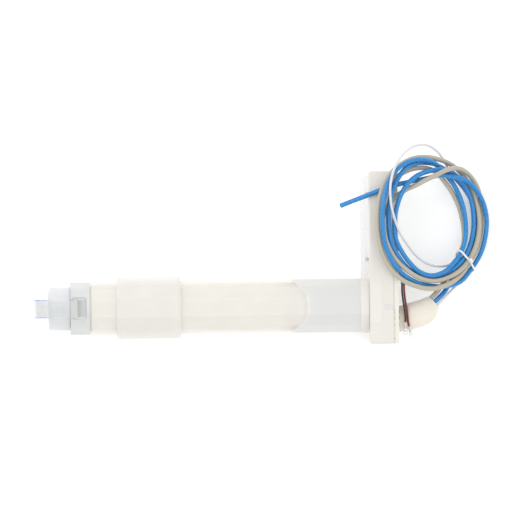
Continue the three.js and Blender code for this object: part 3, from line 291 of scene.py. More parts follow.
ELECTRODE_LEADS = {
    "upper": [(183.4, -65, 39.5), (184.9, -65, 39.5), (187, -64, 43.5), (187.5, -58, 48.5),
              (187.5, -40, 51), (187.7, -20, 51), (187.7, -2.4, 51)],
    "lower": [(183.4, -51, 39.5), (184.6, -51, 39.4), (186, -50, 35.5), (186.5, -44, 30),
              (187.3, -30, 28), (187.7, -15, 28), (187.7, -2.4, 28)],
}
out = np.array([cos(MOUTH_TURN), sin(MOUTH_TURN), 0])
across = np.array([sin(MOUTH_TURN), -cos(MOUTH_TURN), 0])
mouth_reach = MOUTH_PLACES["white"] + RADIUS["white"] + BOOT_LIP
boot_tip = HEAD_RIGHT + FIT + BOOT_LENGTH
mouth_middle = np.array([boot_tip - mouth_reach * sin(MOUTH_TURN), AXIS_Y + MOUTH_SHIFT, AXIS_Z])
exits = {name: mouth_middle + across * place for name, place in MOUTH_PLACES.items()}
for name, place in exits.items():
    print(name, "leaves the boot at", place.round(1).tolist())

# %% The coil as drawn
COIL_CENTRE = np.array([249.6, 51.8, 53.5])
COIL_TILT = radians(37)
LAYER = 6.8
GAP = 0.7
STEPS_PER_TURN = 24
COMPASS_START, COMPASS_POINTS = 7, 8
COILS = {
    "blue": ([81.5, 79.5, 68, 70, 73, 66, 72, 80, 76, 71, 65, 56, 58, 56, 67, 79, 69, 56, 57, 73,
              84, 78, 80, 86, 92, 87, 70, 51],
             [0, 0, 0, -0.3, 0.1, 0, 0, 0, 0.5, 0.5, 1, 1, 1.6, 0.5, 0.3, 1, 1, 1, 1, 1, 1.5, 1,
              0.2, 0, 0, 1, 2, 1]),
    "grey": ([72, 56, 53, 67, 73, 74, 79, 85, 84, 79, 78, 73, 80, 81, 88, 93, 87, 84, 80, 56, 54,
              70, 78],
             [0, 0, 0, 0, 0, 0, 0, 1, 1, 1, 0, 0, 0, 0, 0, 1, 0, 0, 1, 2, 0, -0.8, -0.6]),
    "white": ([98, 92, 69, 93, 90, 63, 49, 61, 77],
              [0, 0, -1, 0, 2, 1.5, 0, 0, -0.9]),
}


def blended(values, place):
    """Hermite curve through a list of values, its slope at each the mean of the two steps"""
    values = np.asarray(values, float)
    i = np.minimum(np.floor(place).astype(int), len(values) - 2)
    t = place - i
    at = lambda k: values[np.clip(i + k, 0, len(values) - 1)]
    into, away = (at(1) - at(-1)) / 2, (at(2) - at(0)) / 2
    return ((2 * t ** 3 - 3 * t ** 2 + 1) * at(0) + (t ** 3 - 2 * t ** 2 + t) * into
            + (3 * t ** 2 - 2 * t ** 3) * at(1) + (t ** 3 - t ** 2) * away)


def drawn_turns(reach, layers):
    """Turns on the leaning plane: reach outwards at each angle, lifted by its number of layers"""
    count = (len(reach) - 1) * STEPS_PER_TURN // COMPASS_POINTS
    place = np.arange(count + 1) * COMPASS_POINTS / STEPS_PER_TURN
    angle = (COMPASS_START + place) * 2 * pi / COMPASS_POINTS
    far, lift = blended(reach, place), blended(layers, place) * LAYER
    return COIL_CENTRE + np.stack([
        far * np.cos(angle) * cos(COIL_TILT) + lift * sin(COIL_TILT),
        far * np.sin(angle),
        -far * np.cos(angle) * sin(COIL_TILT) + lift * cos(COIL_TILT)], 1)


def beyond(points, distance, at_start=False):
    """A point past the end of a line, on its straight run"""
    end, previous = (points[0], points[1]) if at_start else (points[-1], points[-2])
    step = end - previous
    return end + step * distance / np.linalg.norm(step)


drawn = {name: drawn_turns(*table) for name, table in COILS.items()}
print("points drawn:", {name: len(points) for name, points in drawn.items()})


# %% [markdown]
# ## Letting the turns settle
# Every straight piece of cord is compared with its near neighbours. Where two are closer than
# their radii and a small gap allow, each is pushed half of what is missing. Whole arrays of pairs
# are handled at once, so 600 rounds take seconds. The leads, the cores and the head's edge are
# held still, and the coils move round them.

# %% Settling
ROUNDS = 600
SHAPING_SHARE, PUSH_SHARE, SHAPE_SHARE, HOLD_SHARE = 0.7, 1.2, 0.25, 0.01
NEIGHBOURS_SKIPPED = 4
PARALLEL, TINY = 1e-12, 1e-9


def nearest_places(a, b, c, d):
    """Least distance between straight pieces ab and cd, and how far along each it falls"""
    u, v, w = b - a, d - c, a - c
    dot = lambda p, q: np.einsum("ij,ij->i", p, q)
    uu, uv, vv, uw, vw = dot(u, u), dot(u, v), dot(v, v), dot(u, w), dot(v, w)
    skew = uu * vv - uv * uv
    s = np.clip((uv * vw - vv * uw) / np.maximum(skew, PARALLEL), 0, 1)
    s = np.where(skew > PARALLEL, s, 0.5)
    t = np.clip((uv * s + vw) / vv, 0, 1)
    s = np.clip((uv * t - uw) / uu, 0, 1)
    apart = a + u * s[:, None] - c - v * t[:, None]
    return s, t, apart, np.linalg.norm(apart, axis=1)


def settle(strands):
    """Pushes overlapping strands apart, round by round, and returns the points of each.

    A point moves by the mean of the pushes on it. For the first rounds it is also drawn back a
    little towards its own drawn bend and place. The two points at each end stay.
    """
    counts = [len(s["points"]) for s in strands]
    radius = np.repeat([float(s["radius"]) for s in strands], counts)
    held = np.repeat([s["held"] for s in strands], counts)
    strand = np.repeat(np.arange(len(strands)), counts)
    points = np.concatenate([s["points"] for s in strands]).astype(float)
    start = points.copy()
    piece = np.flatnonzero(strand[:-1] == strand[1:])
    place = np.concatenate([np.arange(count) for count in counts])
    size = np.repeat(counts, counts)
    moving = ~held & (place >= 2) & (place <= size - 3)
    inner = np.flatnonzero(moving)
    bent = (start[inner - 1] + start[inner + 1]) / 2 - start[inner]
    first, second = np.triu_indices(len(piece), 1)
    first, second = piece[first], piece[second]
    useful = ~(held[first] & held[second])
    useful &= ~((strand[first] == strand[second]) & (second - first < NEIGHBOURS_SKIPPED))
    first, second = first[useful], second[useful]
    for step in range(ROUNDS):
        if step % STEPS_PER_TURN == 0:
            near = np.linalg.norm(points[first] - points[second], axis=1) < LAYER * COMPASS_POINTS
            a, b = first[near], second[near]
        s, t, apart, distance = nearest_places(points[a], points[a + 1], points[b], points[b + 1])
        short = radius[a] + radius[b] + GAP - distance
        close = short > 0
        share = np.where(held[a] | held[b], 1, 2)
        push = (apart * (short / share / np.maximum(distance, TINY))[:, None])[close]
        s, t, i, j = s[close], t[close], a[close], b[close]
        index = np.concatenate([i, i + 1, j, j + 1])
        weight = np.concatenate([1 - s, s, 1 - t, t])
        moves = np.concatenate([push, push, -push, -push]) * weight[:, None]
        total = np.stack([np.bincount(index, moves[:, k], len(points)) for k in range(3)], 1)
        weights = np.bincount(index, weight, len(points))
        change = total[inner] * (PUSH_SHARE / np.maximum(weights[inner], 1))[:, None]
        if step < ROUNDS * SHAPING_SHARE:
            bend = (points[inner - 1] + points[inner + 1]) / 2 - points[inner]
            change += (bend - bent) * SHAPE_SHARE + (start[inner] - points[inner]) * HOLD_SHARE
        points[inner] += change
        clear = radius + GAP
        over = (points[:, 0] < HEAD_RIGHT) & (points[:, 1] < HEAD_TOP + radius)
        floor = np.where(over, HEAD_DEPTH + clear, clear)
        points[inner, 2] = np.maximum(points[inner, 2], floor[inner])
    print("least gap", round(float((distance - radius[a] - radius[b]).min()), 2), "mm")
    return [points[strand == k] for k in range(len(strands))]


# %% Strands to settle
HELD_SPACING, RUN_OUT, RUN_IN = 5, 2, 3  # all in radii of the cord


def strand(points, radius, held):
    """One cord, or a stretch of it, for the settling"""
    return {"points": np.asarray(points, float), "radius": radius, "held": held}


def held_strand(points, radius):
    """A stretch that stays where it was drawn and only pushes others"""
    return strand(smooth_path(points, HELD_SPACING * radius), radius, True)


strands = [strand(drawn[name], RADIUS[name], False) for name in COILS]
edge_y = np.linspace(HEAD_BOTTOM, HEAD_TOP, STEPS_PER_TURN + 1)
strands.append(strand([(HEAD_RIGHT, y, HEAD_DEPTH) for y in edge_y], 0, True))
leads = {}
for name, middle in LEADS.items():
    radius, turns = RADIUS[name], drawn[name]
    start = exits[name] + out * FIT
    leads[name] = [start, start + out * RUN_OUT * radius, *map(np.array, middle),
                   beyond(turns, RUN_IN * radius, True)]
    strands.append(held_strand(leads[name], radius))
tail_start = [beyond(drawn["blue"], RADIUS["blue"])]
strands.append(held_strand(BLUE_TAIL, RADIUS["blue"]))
sideways = np.cross(drawn["grey"][-1] - drawn["grey"][-2], (0, 0, 1))
sideways *= (RADIUS["core"] + FIT) / np.linalg.norm(sideways)
cores = {}
for way, (name, points) in zip((1, -1), CORES.items()):
    first = beyond(drawn["grey"], FIT) + sideways * way
    second = beyond(drawn["grey"], RUN_OUT * RADIUS["core"]) + sideways * way
    cores[name] = [first, second, *map(np.array, points)]
    strands.append(held_strand(points, RADIUS["core"]))
settled = settle(strands)
turns = dict(zip(COILS, settled))


# %% [markdown]
# ## The cords as pieces
# A cord is drawn from its die in one length, so each is one skin from the boot's mouth, through its
# lead and its turns, to its far end. Inside the boot and the head a second, plainer piece goes on.

# %% Cord pieces
STEP = 1.6
TAILS = {"blue": [*tail_start, *BLUE_TAIL]}
paths = {name: smooth_path([exits[name], *leads[name][1:], *turns[name], *TAILS.get(name, [])], STEP)
         for name in COILS}
paths.update({name: smooth_path(points, STEP / 2) for name, points in cores.items()})
REPLACED = {
    "blue": ["blue_tube_lead", "blue_tube_coil", "blue_tube_tail"],
    "grey": ["grey_cable_lead", "grey_cable_coil"],
    "white": ["white_wire_lead", "white_wire_coil"],
    "black": ["black_lead"],
    "red": ["red_lead"],
}
PIECE_NAMES = {"blue": "blue_tube", "grey": "grey_cable", "white": "pale_wire",
               "black": "black_core", "red": "red_core"}
SLOTS = {"blue": "blue_tube", "grey": "grey_jacket", "white": "white_wire",
         "black": "black_wire", "red": "red_wire"}
for name, path in paths.items():
    piece = cord_piece(PIECE_NAMES[name], path, RADIUS.get(name, RADIUS["core"]))
    dress(piece, "base", SLOTS[name], *REPLACED[name])
    print(piece.name, round(path_length(path)), "mm long")

# %% Runs inside the boot and the head
INSIDE_SIDES = 12
RUN_NODES = {"blue": "blue_tube_run", "grey": "grey_cable_run", "white": "white_wire_run"}
for name, plan in RUNS.items():
    radius = RADIUS[name]
    points = [*((x, y, AXIS_Z) for x, y in plan), exits[name] - out * radius, exits[name] - out * FIT]
    run = smooth_path(points, 2 * STEP)
    piece = cord_piece(PIECE_NAMES[name] + "_inside", run, radius, INSIDE_SIDES)
    dress(piece, "base", SLOTS[name], RUN_NODES[name])
for number, points in enumerate(ELECTRODE_LEADS.values(), 1):
    run = smooth_path(points, STEP)
    piece = cord_piece(f"electrode_wire_{number}", run, RADIUS["electrode"], INSIDE_SIDES)
    dress(piece, "base", "red_wire", f"electrode_lead_{number}")
print(len(RUNS) + len(ELECTRODE_LEADS), "hidden runs")


# %% [markdown]
# ## Outlines with rounded corners
# Moulded plastic has no knife edges. Rounding each corner of an outline by an arc, and easing the
# ends of a piece in the same way, gives every edge the thin line of light that a real one catches.

# %% Outline helpers
CORNER_ANGLES = np.radians([18, 45, 75])
EDGE_STEPS = 5


def twelve_corners(radius):
    """Corners of the tube's outline, in Y and Z, at a corner radius, clockwise from the top"""
    quarter = np.stack([radius * np.sin(CORNER_ANGLES), radius * np.cos(CORNER_ANGLES)], 1)
    right = np.vstack([quarter, quarter[::-1] * (1, -1)])
    return np.vstack([right, right[::-1] * (-1, 1)])


def rectangle(half_y, half_z):
    """Corners of a rectangle about the origin"""
    return np.array([(half_y, half_z), (half_y, -half_z), (-half_y, -half_z), (-half_y, half_z)], float)


def rounded(corners, radius, steps=6):
    """Each corner replaced by an arc that touches both of its sides.

    The arc's centre lies on the corner's bisector, at the radius over the sine of half the angle,
    and its points turn evenly from one side's foot to the other's.
    """
    corners = np.asarray(corners, float)
    back = np.roll(corners, 1, 0) - corners
    ahead = np.roll(corners, -1, 0) - corners
    back /= np.linalg.norm(back, axis=1, keepdims=True)
    ahead /= np.linalg.norm(ahead, axis=1, keepdims=True)
    half = np.arccos(np.clip(np.einsum("ij,ij->i", back, ahead), -1, 1)) / 2
    bisector = back + ahead
    bisector /= np.linalg.norm(bisector, axis=1, keepdims=True)
    centre = corners + bisector * (radius / np.sin(half))[:, None]
    foot = corners + back * (radius / np.tan(half))[:, None]
    swing = (pi - 2 * half)[:, None, None]
    other = corners + ahead * (radius / np.tan(half))[:, None]
    t = np.linspace(0, 1, steps)[None, :, None]
    arcs = centre[:, None] + (np.sin((1 - t) * swing) * (foot - centre)[:, None]
                              + np.sin(t * swing) * (other - centre)[:, None]) / np.sin(swing)
    return arcs.reshape(-1, 2)


def stacked(outlines, places):
    """Outlines in Y and Z, each at its place along X, as one grid"""
    outlines = np.asarray(outlines, float)
    x = np.broadcast_to(np.asarray(places, float)[:, None, None], (*outlines.shape[:2], 1))
    return np.concatenate([x, outlines + (AXIS_Y, AXIS_Z)], 2)


def circle_like(outline, radius):
    """Points of a circle at the same angles as the outline's points"""
    return outline / np.linalg.norm(outline, axis=1, keepdims=True) * radius


# %% [markdown]
# ## The tube, its sleeve and its band
# The housing is one milky moulding with twelve flats outside and a round bore. The sleeve and the
# band follow the same outline, so all three come from one function that carries an outline along X
# on the outside and another back along the inside.

# %% Hollow housings
TUBE_LEFT = -188.85
TUBE_LENGTH, TUBE_WALL = 361.5, 4
SLEEVE_START, SLEEVE_LENGTH = 33.4, 83.2
BAND_WIDTH, BAND_THICKNESS = 11.3, 0.7
TUBE_BORE = TUBE_CORNER - TUBE_WALL
TUBE_ROUND, SLEEVE_ROUND, BAND_ROUND = 1.6, 2.2, 1.8
TUBE_EDGE, SLEEVE_EDGE, BAND_EDGE = 0.6, 0.8, 0.25
SLEEVE_LIP, SLEEVE_LIP_REACH, LIP_SHARE = 1.5, 3, 0.6
FLAT_SHARE = cos(CORNER_ANGLES[0])  # of the corner's radius, from the axis to the flat


def eased(start, end, radius):
    """Places along a stretch, and insets there, whose two edges are quarter rounds of the radius"""
    angle = np.linspace(0, pi / 2, EDGE_STEPS)
    place, inset = radius * (1 - np.cos(angle)), radius * (1 - np.sin(angle))
    return np.concatenate([start + place, end - place[::-1]]), np.concatenate([inset, inset[::-1]])


def housing(name, start, end, corner, corner_round, inner, edge, lip=0, lip_reach=0):
    """Twelve-sided outside between two places, and back along the inside.

    inner is a function that turns the outside's outline into the inside's. lip makes the last
    lip_reach at each end thinner by lip, with a slope between.
    """
    place, inset = eased(start, end, edge)
    if lip:
        slope = np.array([lip_reach * LIP_SHARE, lip_reach])
        place = np.concatenate([place[:EDGE_STEPS], start + slope, end - slope[::-1],
                                place[EDGE_STEPS:]])
        inset = np.concatenate([inset[:EDGE_STEPS] + lip, [lip, 0, 0, lip], inset[EDGE_STEPS:] + lip])
    outside = [rounded(twelve_corners(corner - d), corner_round) for d in inset]
    inside = inner(rounded(twelve_corners(corner), corner_round))
    grid = stacked([*outside, inside, inside], [*place, end, start])
    return grid_piece(name, grid, ring=True, smooth_angle=30)


tube_right = TUBE_LEFT + TUBE_LENGTH
tube = housing("housing_tube", TUBE_LEFT, tube_right, TUBE_CORNER, TUBE_ROUND,
               lambda outline: circle_like(outline, TUBE_BORE), TUBE_EDGE)
dress(tube, "base", "tube_plastic", "main_tube")

loose_corner = TUBE_CORNER + FIT / FLAT_SHARE
opening = rounded(twelve_corners(loose_corner), TUBE_ROUND)
sleeve_left = TUBE_LEFT + SLEEVE_START
sleeve = housing("clamp_sleeve", sleeve_left, sleeve_left + SLEEVE_LENGTH,
                 HEAD_DEPTH / 2 / FLAT_SHARE, SLEEVE_ROUND, lambda outline: opening,
                 SLEEVE_EDGE, SLEEVE_LIP, SLEEVE_LIP_REACH)
dress(sleeve, "base", "sleeve_plastic", "mounting_sleeve")

band = housing("end_band", tube_right - BAND_WIDTH, tube_right, loose_corner + BAND_THICKNESS,
               BAND_ROUND, lambda outline: opening, BAND_EDGE)
dress(band, "base", "label_film", "tube_band")
print("tube", TUBE_LENGTH, "mm long over", round(2 * TUBE_CORNER * sin(CORNER_ANGLES[2]), 1), "mm")


# %% [markdown]
# ## The cartridge
# A dome-ended vessel full of salt slides in the tube. Its walls are thin and blown, so the dome
# shows as a soft amber line through the housing. The plug closes its near end.

# %% Vessel
def arc(centre, radius, start, end, steps=14):
    """Points of a circle's arc in the plane of a profile, between two angles from the X axis"""
    angle = np.linspace(start, end, steps)
    return np.stack([centre[0] + radius * np.cos(angle), centre[1] + radius * np.sin(angle)], 1)


def hollow_turned(name, outside, inside, columns=72):
    """A cup: the outside's profile to the axis, then the inside's back to the rim"""
    profiles = [np.asarray(p, float) for p in (outside, inside)]
    grids = [stacked(p[:, 1, None, None] * circle(columns)[None], p[:, 0]) for p in profiles]
    first, second = len(profiles[0]), len(profiles[1])
    points = np.vstack([g.reshape(-1, 3) for g in grids])
    shift = first * columns
    column = np.arange(columns)
    rim = np.stack([shift + (second - 1) * columns + column,
                    shift + (second - 1) * columns + (column + 1) % columns,
                    (column + 1) % columns, column], 1)
    sides = [grid_faces(first, columns, False), grid_faces(second, columns, False) + shift, rim]
    faces = [*np.vstack(sides).tolist(), ((first - 1) * columns + column).tolist(),
             (shift + column)[::-1].tolist()]
    return mesh_piece(name, points, faces)


VESSEL_RIGHT = 281.7 + TUBE_LEFT
VESSEL_OUTER, VESSEL_WALL, VESSEL_CORNER, VESSEL_CROWN = TUBE_BORE - FIT, 2, 17, 1.8
CROWN_SHARES = np.linspace(0.85, 0.05, 6)
flat_radius = VESSEL_OUTER - VESSEL_CORNER
corner_centre = (VESSEL_RIGHT - VESSEL_CROWN - VESSEL_CORNER, flat_radius)
vessel_left = TUBE_LEFT + FIT
crown = np.stack([VESSEL_RIGHT - VESSEL_CROWN * CROWN_SHARES ** 2, flat_radius * CROWN_SHARES], 1)
outside = np.vstack([(vessel_left, VESSEL_OUTER), arc(corner_centre, VESSEL_CORNER, pi / 2, 0), crown])
inside = np.vstack([crown[::-1] - (VESSEL_WALL, 0),
                    arc(corner_centre, VESSEL_CORNER - VESSEL_WALL, 0, pi / 2),
                    (vessel_left, VESSEL_OUTER - VESSEL_WALL)])
vessel = hollow_turned("salt_vessel", outside, inside)
dress(vessel, "cartridge", "vessel_plastic", "domed_vessel")
print("vessel ends at", round(VESSEL_RIGHT), "mm")

# %% Plug
SHOULDER, CAP_LENGTH = 1.6, 25.5
CAP_LEFT = TUBE_LEFT - SHOULDER - CAP_LENGTH
PLUG_RIGHT = CAP_LEFT - FIT
PLUG_LENGTH, PLUG_NECK, PLUG_LIP, PLUG_WALL = 28, 25.5, 2.5, 3.2
PLUG_LEFT = PLUG_RIGHT - PLUG_LENGTH
PLUG_DEPTH, PLUG_ROUND, PLUG_EASE = 34, 2.4, 0.4
PLUG_BOW, BOW_SHARES, BOW_RADII = 0.8, (1, 0.9, 0.5), (0.3, 9, 19.6)
GROOVE_PLACE, GROOVE_WIDTH, GROOVE_DEPTH = 14, 2.1, 1.8
rim_radius = PLUG_NECK + PLUG_LIP
groove, groove_end = PLUG_RIGHT + GROOVE_PLACE, PLUG_RIGHT + GROOVE_PLACE + GROOVE_WIDTH
outer = [*((PLUG_LEFT - PLUG_BOW * share, radius) for share, radius in zip(BOW_SHARES, BOW_RADII)),
         *arc((PLUG_LEFT + PLUG_ROUND, rim_radius - PLUG_ROUND), PLUG_ROUND, pi, pi / 2, 7),
         (PLUG_RIGHT - PLUG_EASE, rim_radius), (PLUG_RIGHT, rim_radius - PLUG_EASE),
         (PLUG_RIGHT, PLUG_NECK), (groove, PLUG_NECK), (groove, PLUG_NECK - GROOVE_DEPTH),
         (groove_end, PLUG_NECK - GROOVE_DEPTH), (groove_end, PLUG_NECK),
         (PLUG_RIGHT + PLUG_DEPTH, PLUG_NECK)]
inner = [(PLUG_LEFT + PLUG_WALL, BOW_RADII[0]), (PLUG_LEFT + PLUG_WALL, PLUG_NECK - PLUG_WALL),
         (PLUG_RIGHT + PLUG_DEPTH, PLUG_NECK - PLUG_WALL)]
plug = hollow_turned("cartridge_cup", outer[::-1], inner)
dress(plug, "cartridge", "plug_plastic", "cartridge_plug")
print("cartridge from", round(PLUG_LEFT), "to", round(VESSEL_RIGHT), "mm")


# %% [markdown]
# ## The pull strap
# A flat band of clear blue plastic runs in a U from one side of the cap to the other. Light that
# enters such a band leaves it at its edges, so they look much bluer than its face. The band is a
# rounded section carried along the U, and each point keeps how near the edge it lies.

# %% Strap
STRAP_WIDTH, STRAP_THICKNESS, STRAP_BEND, STRAP_REACH = 24, 2.8, 9, 19
STRAP_ROUND, EAR, EAR_LENGTH, EAR_SLOPE = 0.6, 1.5, 6, 0.4
CAP_CORNER, CAP_LIP, SLOT_DEPTH = 35, 3.3, 3.4
BEND_POINTS, BOW_POINTS = 9, 7
strap_left = PLUG_LEFT - STRAP_REACH
strap_middle = strap_left + STRAP_THICKNESS / 2
arm = CAP_CORNER * FLAT_SHARE - SLOT_DEPTH + FIT + STRAP_THICKNESS / 2
tip = CAP_LEFT + CAP_LIP + FIT + EAR_LENGTH
bend = STRAP_BEND - STRAP_THICKNESS / 2
quarter = np.linspace(0, pi / 2, BEND_POINTS)
lower = np.stack([strap_middle + bend * (1 - np.sin(quarter)), -arm + bend * (1 - np.cos(quarter))], 1)
bow = np.stack([np.full(BOW_POINTS, strap_middle), np.linspace(-arm + bend, arm - bend, BOW_POINTS)], 1)
ear_places = np.array([tip, tip - EAR_LENGTH + EAR_SLOPE, tip - EAR_LENGTH - EAR_SLOPE])
straight = np.linspace(ear_places[-1], lower[0, 0], BEND_POINTS)[1:-1]
reach = np.concatenate([ear_places, straight])
half_line = np.concatenate([np.stack([reach, np.full(len(reach), -arm)], 1), lower,
                            bow[1:BOW_POINTS // 2 + 1]])
line = np.concatenate([half_line, (half_line * (1, -1))[::-1][1:]])
wide = np.full(len(line), STRAP_WIDTH / 2)
wide[[0, 1, -1, -2]] += EAR
section = rounded(rectangle(1, STRAP_THICKNESS / 2), STRAP_ROUND, EDGE_STEPS)
tangent = np.gradient(line, axis=0)
tangent /= np.linalg.norm(tangent, axis=1, keepdims=True)
normal = np.stack([-tangent[:, 1], tangent[:, 0]], 1)
side = np.sign(section[:, 0]) * (np.abs(section[:, 0]) - 1)
y = np.sign(section[:, 0])[None] * wide[:, None] + side[None]
z = np.broadcast_to(section[:, 1], y.shape)
grid = np.stack([line[:, 0, None] + normal[:, 0, None] * z, AXIS_Y + y,
                 AXIS_Z + line[:, 1, None] + normal[:, 1, None] * z], 2)
strap = grid_piece("pull_band", grid, smooth_angle=40)
spread(strap, "edge", y / wide[:, None])
dress(strap, "strap", "strap_plastic", "pull_strap")
print("strap reaches", STRAP_REACH, "mm past the plug")


# %% [markdown]
# ## Eased copies
# The end cap and the cover have slots and holes that a grid of points doesn't suit. Their CAD
# shape is right, so each is copied, its loose triangles are joined, and a bevel rounds its edges.

# %% Eased copies
SAME_PLACE = 0.01
BEVEL_STEPS = 3
CAP_BEVEL, SMALL_BEVEL = 0.7, 0.5
FLAT_TURN, SHARP_TURN, BEVEL_TURN = radians(1), radians(35), radians(32)


def eased_copy(node, name, width, body, slot):
    """A copy of a CAD node with its doubles merged, flat faces joined and edges bevelled"""
    mesh = frame["nodes"][node].data.copy()
    mesh.materials.clear()
    shape = bmesh.new()
    shape.from_mesh(mesh)
    bmesh.ops.remove_doubles(shape, verts=shape.verts, dist=SAME_PLACE * MM)
    bmesh.ops.dissolve_limit(shape, angle_limit=FLAT_TURN, verts=shape.verts, edges=shape.edges)
    shape.to_mesh(mesh)
    shape.free()
    mesh.shade_smooth()
    mesh.set_sharp_from_angle(angle=SHARP_TURN)
    piece = bpy.data.objects.new(name, mesh)
    bpy.context.scene.collection.objects.link(piece)
    bevel = piece.modifiers.new("edges", "BEVEL")
    bevel.width = width * MM
    bevel.segments = BEVEL_STEPS
    bevel.limit_method = "ANGLE"
    bevel.angle_limit = BEVEL_TURN
    bevel.harden_normals = True
    dress(piece, body, slot, node)
    return piece


eased_copy("end_cap", "cartridge_cap", CAP_BEVEL, "cartridge", "cap_plastic")
cover = eased_copy("head_cover", "head_lid", SMALL_BEVEL, "base", "shell_plastic")
eased_copy("wall_flange", "clear_flange", SMALL_BEVEL, "base", "clear_plastic")
eased_copy("indicator_lens", "status_lens", SMALL_BEVEL, "base", "lens_plastic")
print("cover:", len(cover.data.polygons), "faces before its bevel")


# %% [markdown]
# ## The power head
# The head is a box moulding with softly rounded edges. One outline with rounded corners is carried
# from the inside floor out round the open rim, along the outside, over the left face's rounded
# edge, and then down to the round spigot that enters the tube. Every outline has its points at the
# same shares of its length, so that they join without twisting. The pale seal under the cover
# follows the same outline, a little inside it.

# %% Power head
HEAD_LEFT, SHELL_RIGHT = 172.95, 204.55
HEAD_WALL, HEAD_ROUND, HEAD_CORNER, LEAST_CORNER = 3, 3.2, 3, 0.4
RIM_OUTER_EASE, RIM_INNER_EASE = 0.4, 0.3
SPIGOT_LENGTH, SPIGOT_WALL, SPIGOT_EASE = 12, 3.2, 0.5
SEAL_INSET, SEAL_THICKNESS = 0.2, 0.8
OUTLINE_POINTS, ROUND_POINTS = 60, 7
HEAD_MIDDLE = np.array([-AXIS_Y, 0])


def head_outline(inset):
    """Rounded rectangle of the head, less an inset, in Y and Z from the tube's axis"""
    corners = rectangle(HEAD_TOP - inset, HEAD_DEPTH / 2 - inset) + HEAD_MIDDLE
    return rounded(corners, max(HEAD_CORNER - inset, LEAST_CORNER), EDGE_STEPS)


outline_along = distances(closed(head_outline(0)))
extra = np.linspace(0, outline_along[-1], OUTLINE_POINTS, endpoint=False)
shares = np.unique(np.concatenate([outline_along[:-1], extra]).round(6)) / outline_along[-1]
outline_along /= outline_along[-1]


def outline_at(inset):
    """The head's outline less an inset, with its points at the same shares of its length"""
    return resampled(shares, outline_along, closed(head_outline(inset)))


def outlines_at(rows):
    """Outlines of the head, each at a place along X and less an inset, as one grid"""
    return stacked([outline_at(inset) for _, inset in rows], [place for place, _ in rows])


rows = [(HEAD_LEFT + HEAD_WALL, HEAD_WALL), (SHELL_RIGHT - RIM_INNER_EASE, HEAD_WALL),
        (SHELL_RIGHT, HEAD_WALL - RIM_INNER_EASE), (SHELL_RIGHT, RIM_OUTER_EASE),
        (SHELL_RIGHT - RIM_OUTER_EASE, 0)]
rows += [(HEAD_LEFT + HEAD_ROUND * (1 - sin(angle)), HEAD_ROUND * (1 - cos(angle)))
         for angle in np.linspace(0, pi / 2, ROUND_POINTS)]
spigot_radius, spigot_left = TUBE_BORE - FIT, HEAD_LEFT - SPIGOT_LENGTH
spigot = [(HEAD_LEFT, spigot_radius), (spigot_left + SPIGOT_EASE, spigot_radius),
          (spigot_left, spigot_radius - SPIGOT_EASE), (spigot_left, spigot_radius - SPIGOT_WALL),
          (HEAD_LEFT, spigot_radius - SPIGOT_WALL)]
spigot_circle = circle_like(outline_at(HEAD_ROUND), 1)
spigot_grid = stacked([spigot_circle * radius for _, radius in spigot], [place for place, _ in spigot])
shell = grid_piece("head_case", np.concatenate([outlines_at(rows), spigot_grid]), smooth_angle=30)
dress(shell, "base", "shell_plastic", "head_shell")
print("head case:", len(shell.data.vertices), "points")

# %% Seal under the cover
seal_left = SHELL_RIGHT + FIT
seal_right = seal_left + SEAL_THICKNESS
seal_rows = [(seal_left, SEAL_INSET), (seal_right, SEAL_INSET), (seal_right, HEAD_WALL),
             (seal_left, HEAD_WALL)]
lid_seal = grid_piece("lid_seal", outlines_at(seal_rows), ring=True, smooth_angle=30)
dress(lid_seal, "base", "seal_silicone", "cover_gasket")
print("seal", SEAL_THICKNESS, "mm thick")


# %% [markdown]
# ## The rubber boot
# A soft boot is dipped or moulded over a core and drawn over the cords. It is flat where it leaves
# the cover and narrows to its mouth. Two curves drawn over the photo are its sides, and each
# section between them is an oval that a power of the circle's sine and cosine makes fuller.

# %% Boot
BOOT_LOWER = [(211.25, -97.4), (223, -96.3), (234, -93.2), (245, -89.2), (253, -84.8), (259.3, -78),
              (263.1, -65.4)]
BOOT_UPPER = [(211.25, -63.8), (220, -60.9), (229, -58.4), (237, -56.2), (242.6, -54.2),
              (246.6, -52.6), (249.7, -51.4)]
BOOT_DEPTHS = [16.4, 16.8, 16.2, 14.6, 12, 8.6, 5.2]
BOOT_ROWS, BOOT_COLUMNS, BOOT_SPACING = 40, 48, 0.8
FULLNESS = 0.78
MOUTH_SPREAD_SHARE, MOUTH_ROUND = 0.09, 0.4


def boot_side(points):
    """A side of the boot as seen from above, with as many points as the boot has rows"""
    path = smooth_path([(x, y, 0) for x, y in points], BOOT_SPACING)
    return resampled(np.linspace(0, 1, BOOT_ROWS), np.linspace(0, 1, len(path)), path[:, :2])


low_edge, high_edge = boot_side(BOOT_LOWER), boot_side(BOOT_UPPER)
depth = np.interp(np.linspace(0, 1, BOOT_ROWS), np.linspace(0, 1, len(BOOT_DEPTHS)), BOOT_DEPTHS)
middle, reach = (low_edge + high_edge) / 2, (high_edge - low_edge) / 2
oval = circle(BOOT_COLUMNS)
side, rise = (np.sign(oval) * np.abs(oval) ** FULLNESS).T
grid = np.empty((BOOT_ROWS, BOOT_COLUMNS, 3))
grid[..., :2] = middle[:, None] + reach[:, None] * side[None, :, None]
grid[..., 2] = AXIS_Z + depth[:, None] * rise[None]
mouth = grid[-1:]
rim = mouth + (mouth.mean(1, keepdims=True) - mouth) * MOUTH_SPREAD_SHARE
boot = grid_piece("rubber_boot", np.concatenate([grid, rim + out * MOUTH_ROUND]), smooth_angle=50)
dress(boot, "base", "boot_rubber", "cable_boot")
print("boot from", BOOT_LOWER[0], "to", BOOT_UPPER[-1])


# %% [markdown]
# ## Label and tie
# The label is a thin film with rounded corners. The tie is pulled round the bundle where the coils
# start, so its loop is the tightest closed line round the cords there: their convex hull. Its lock
# sits on top.

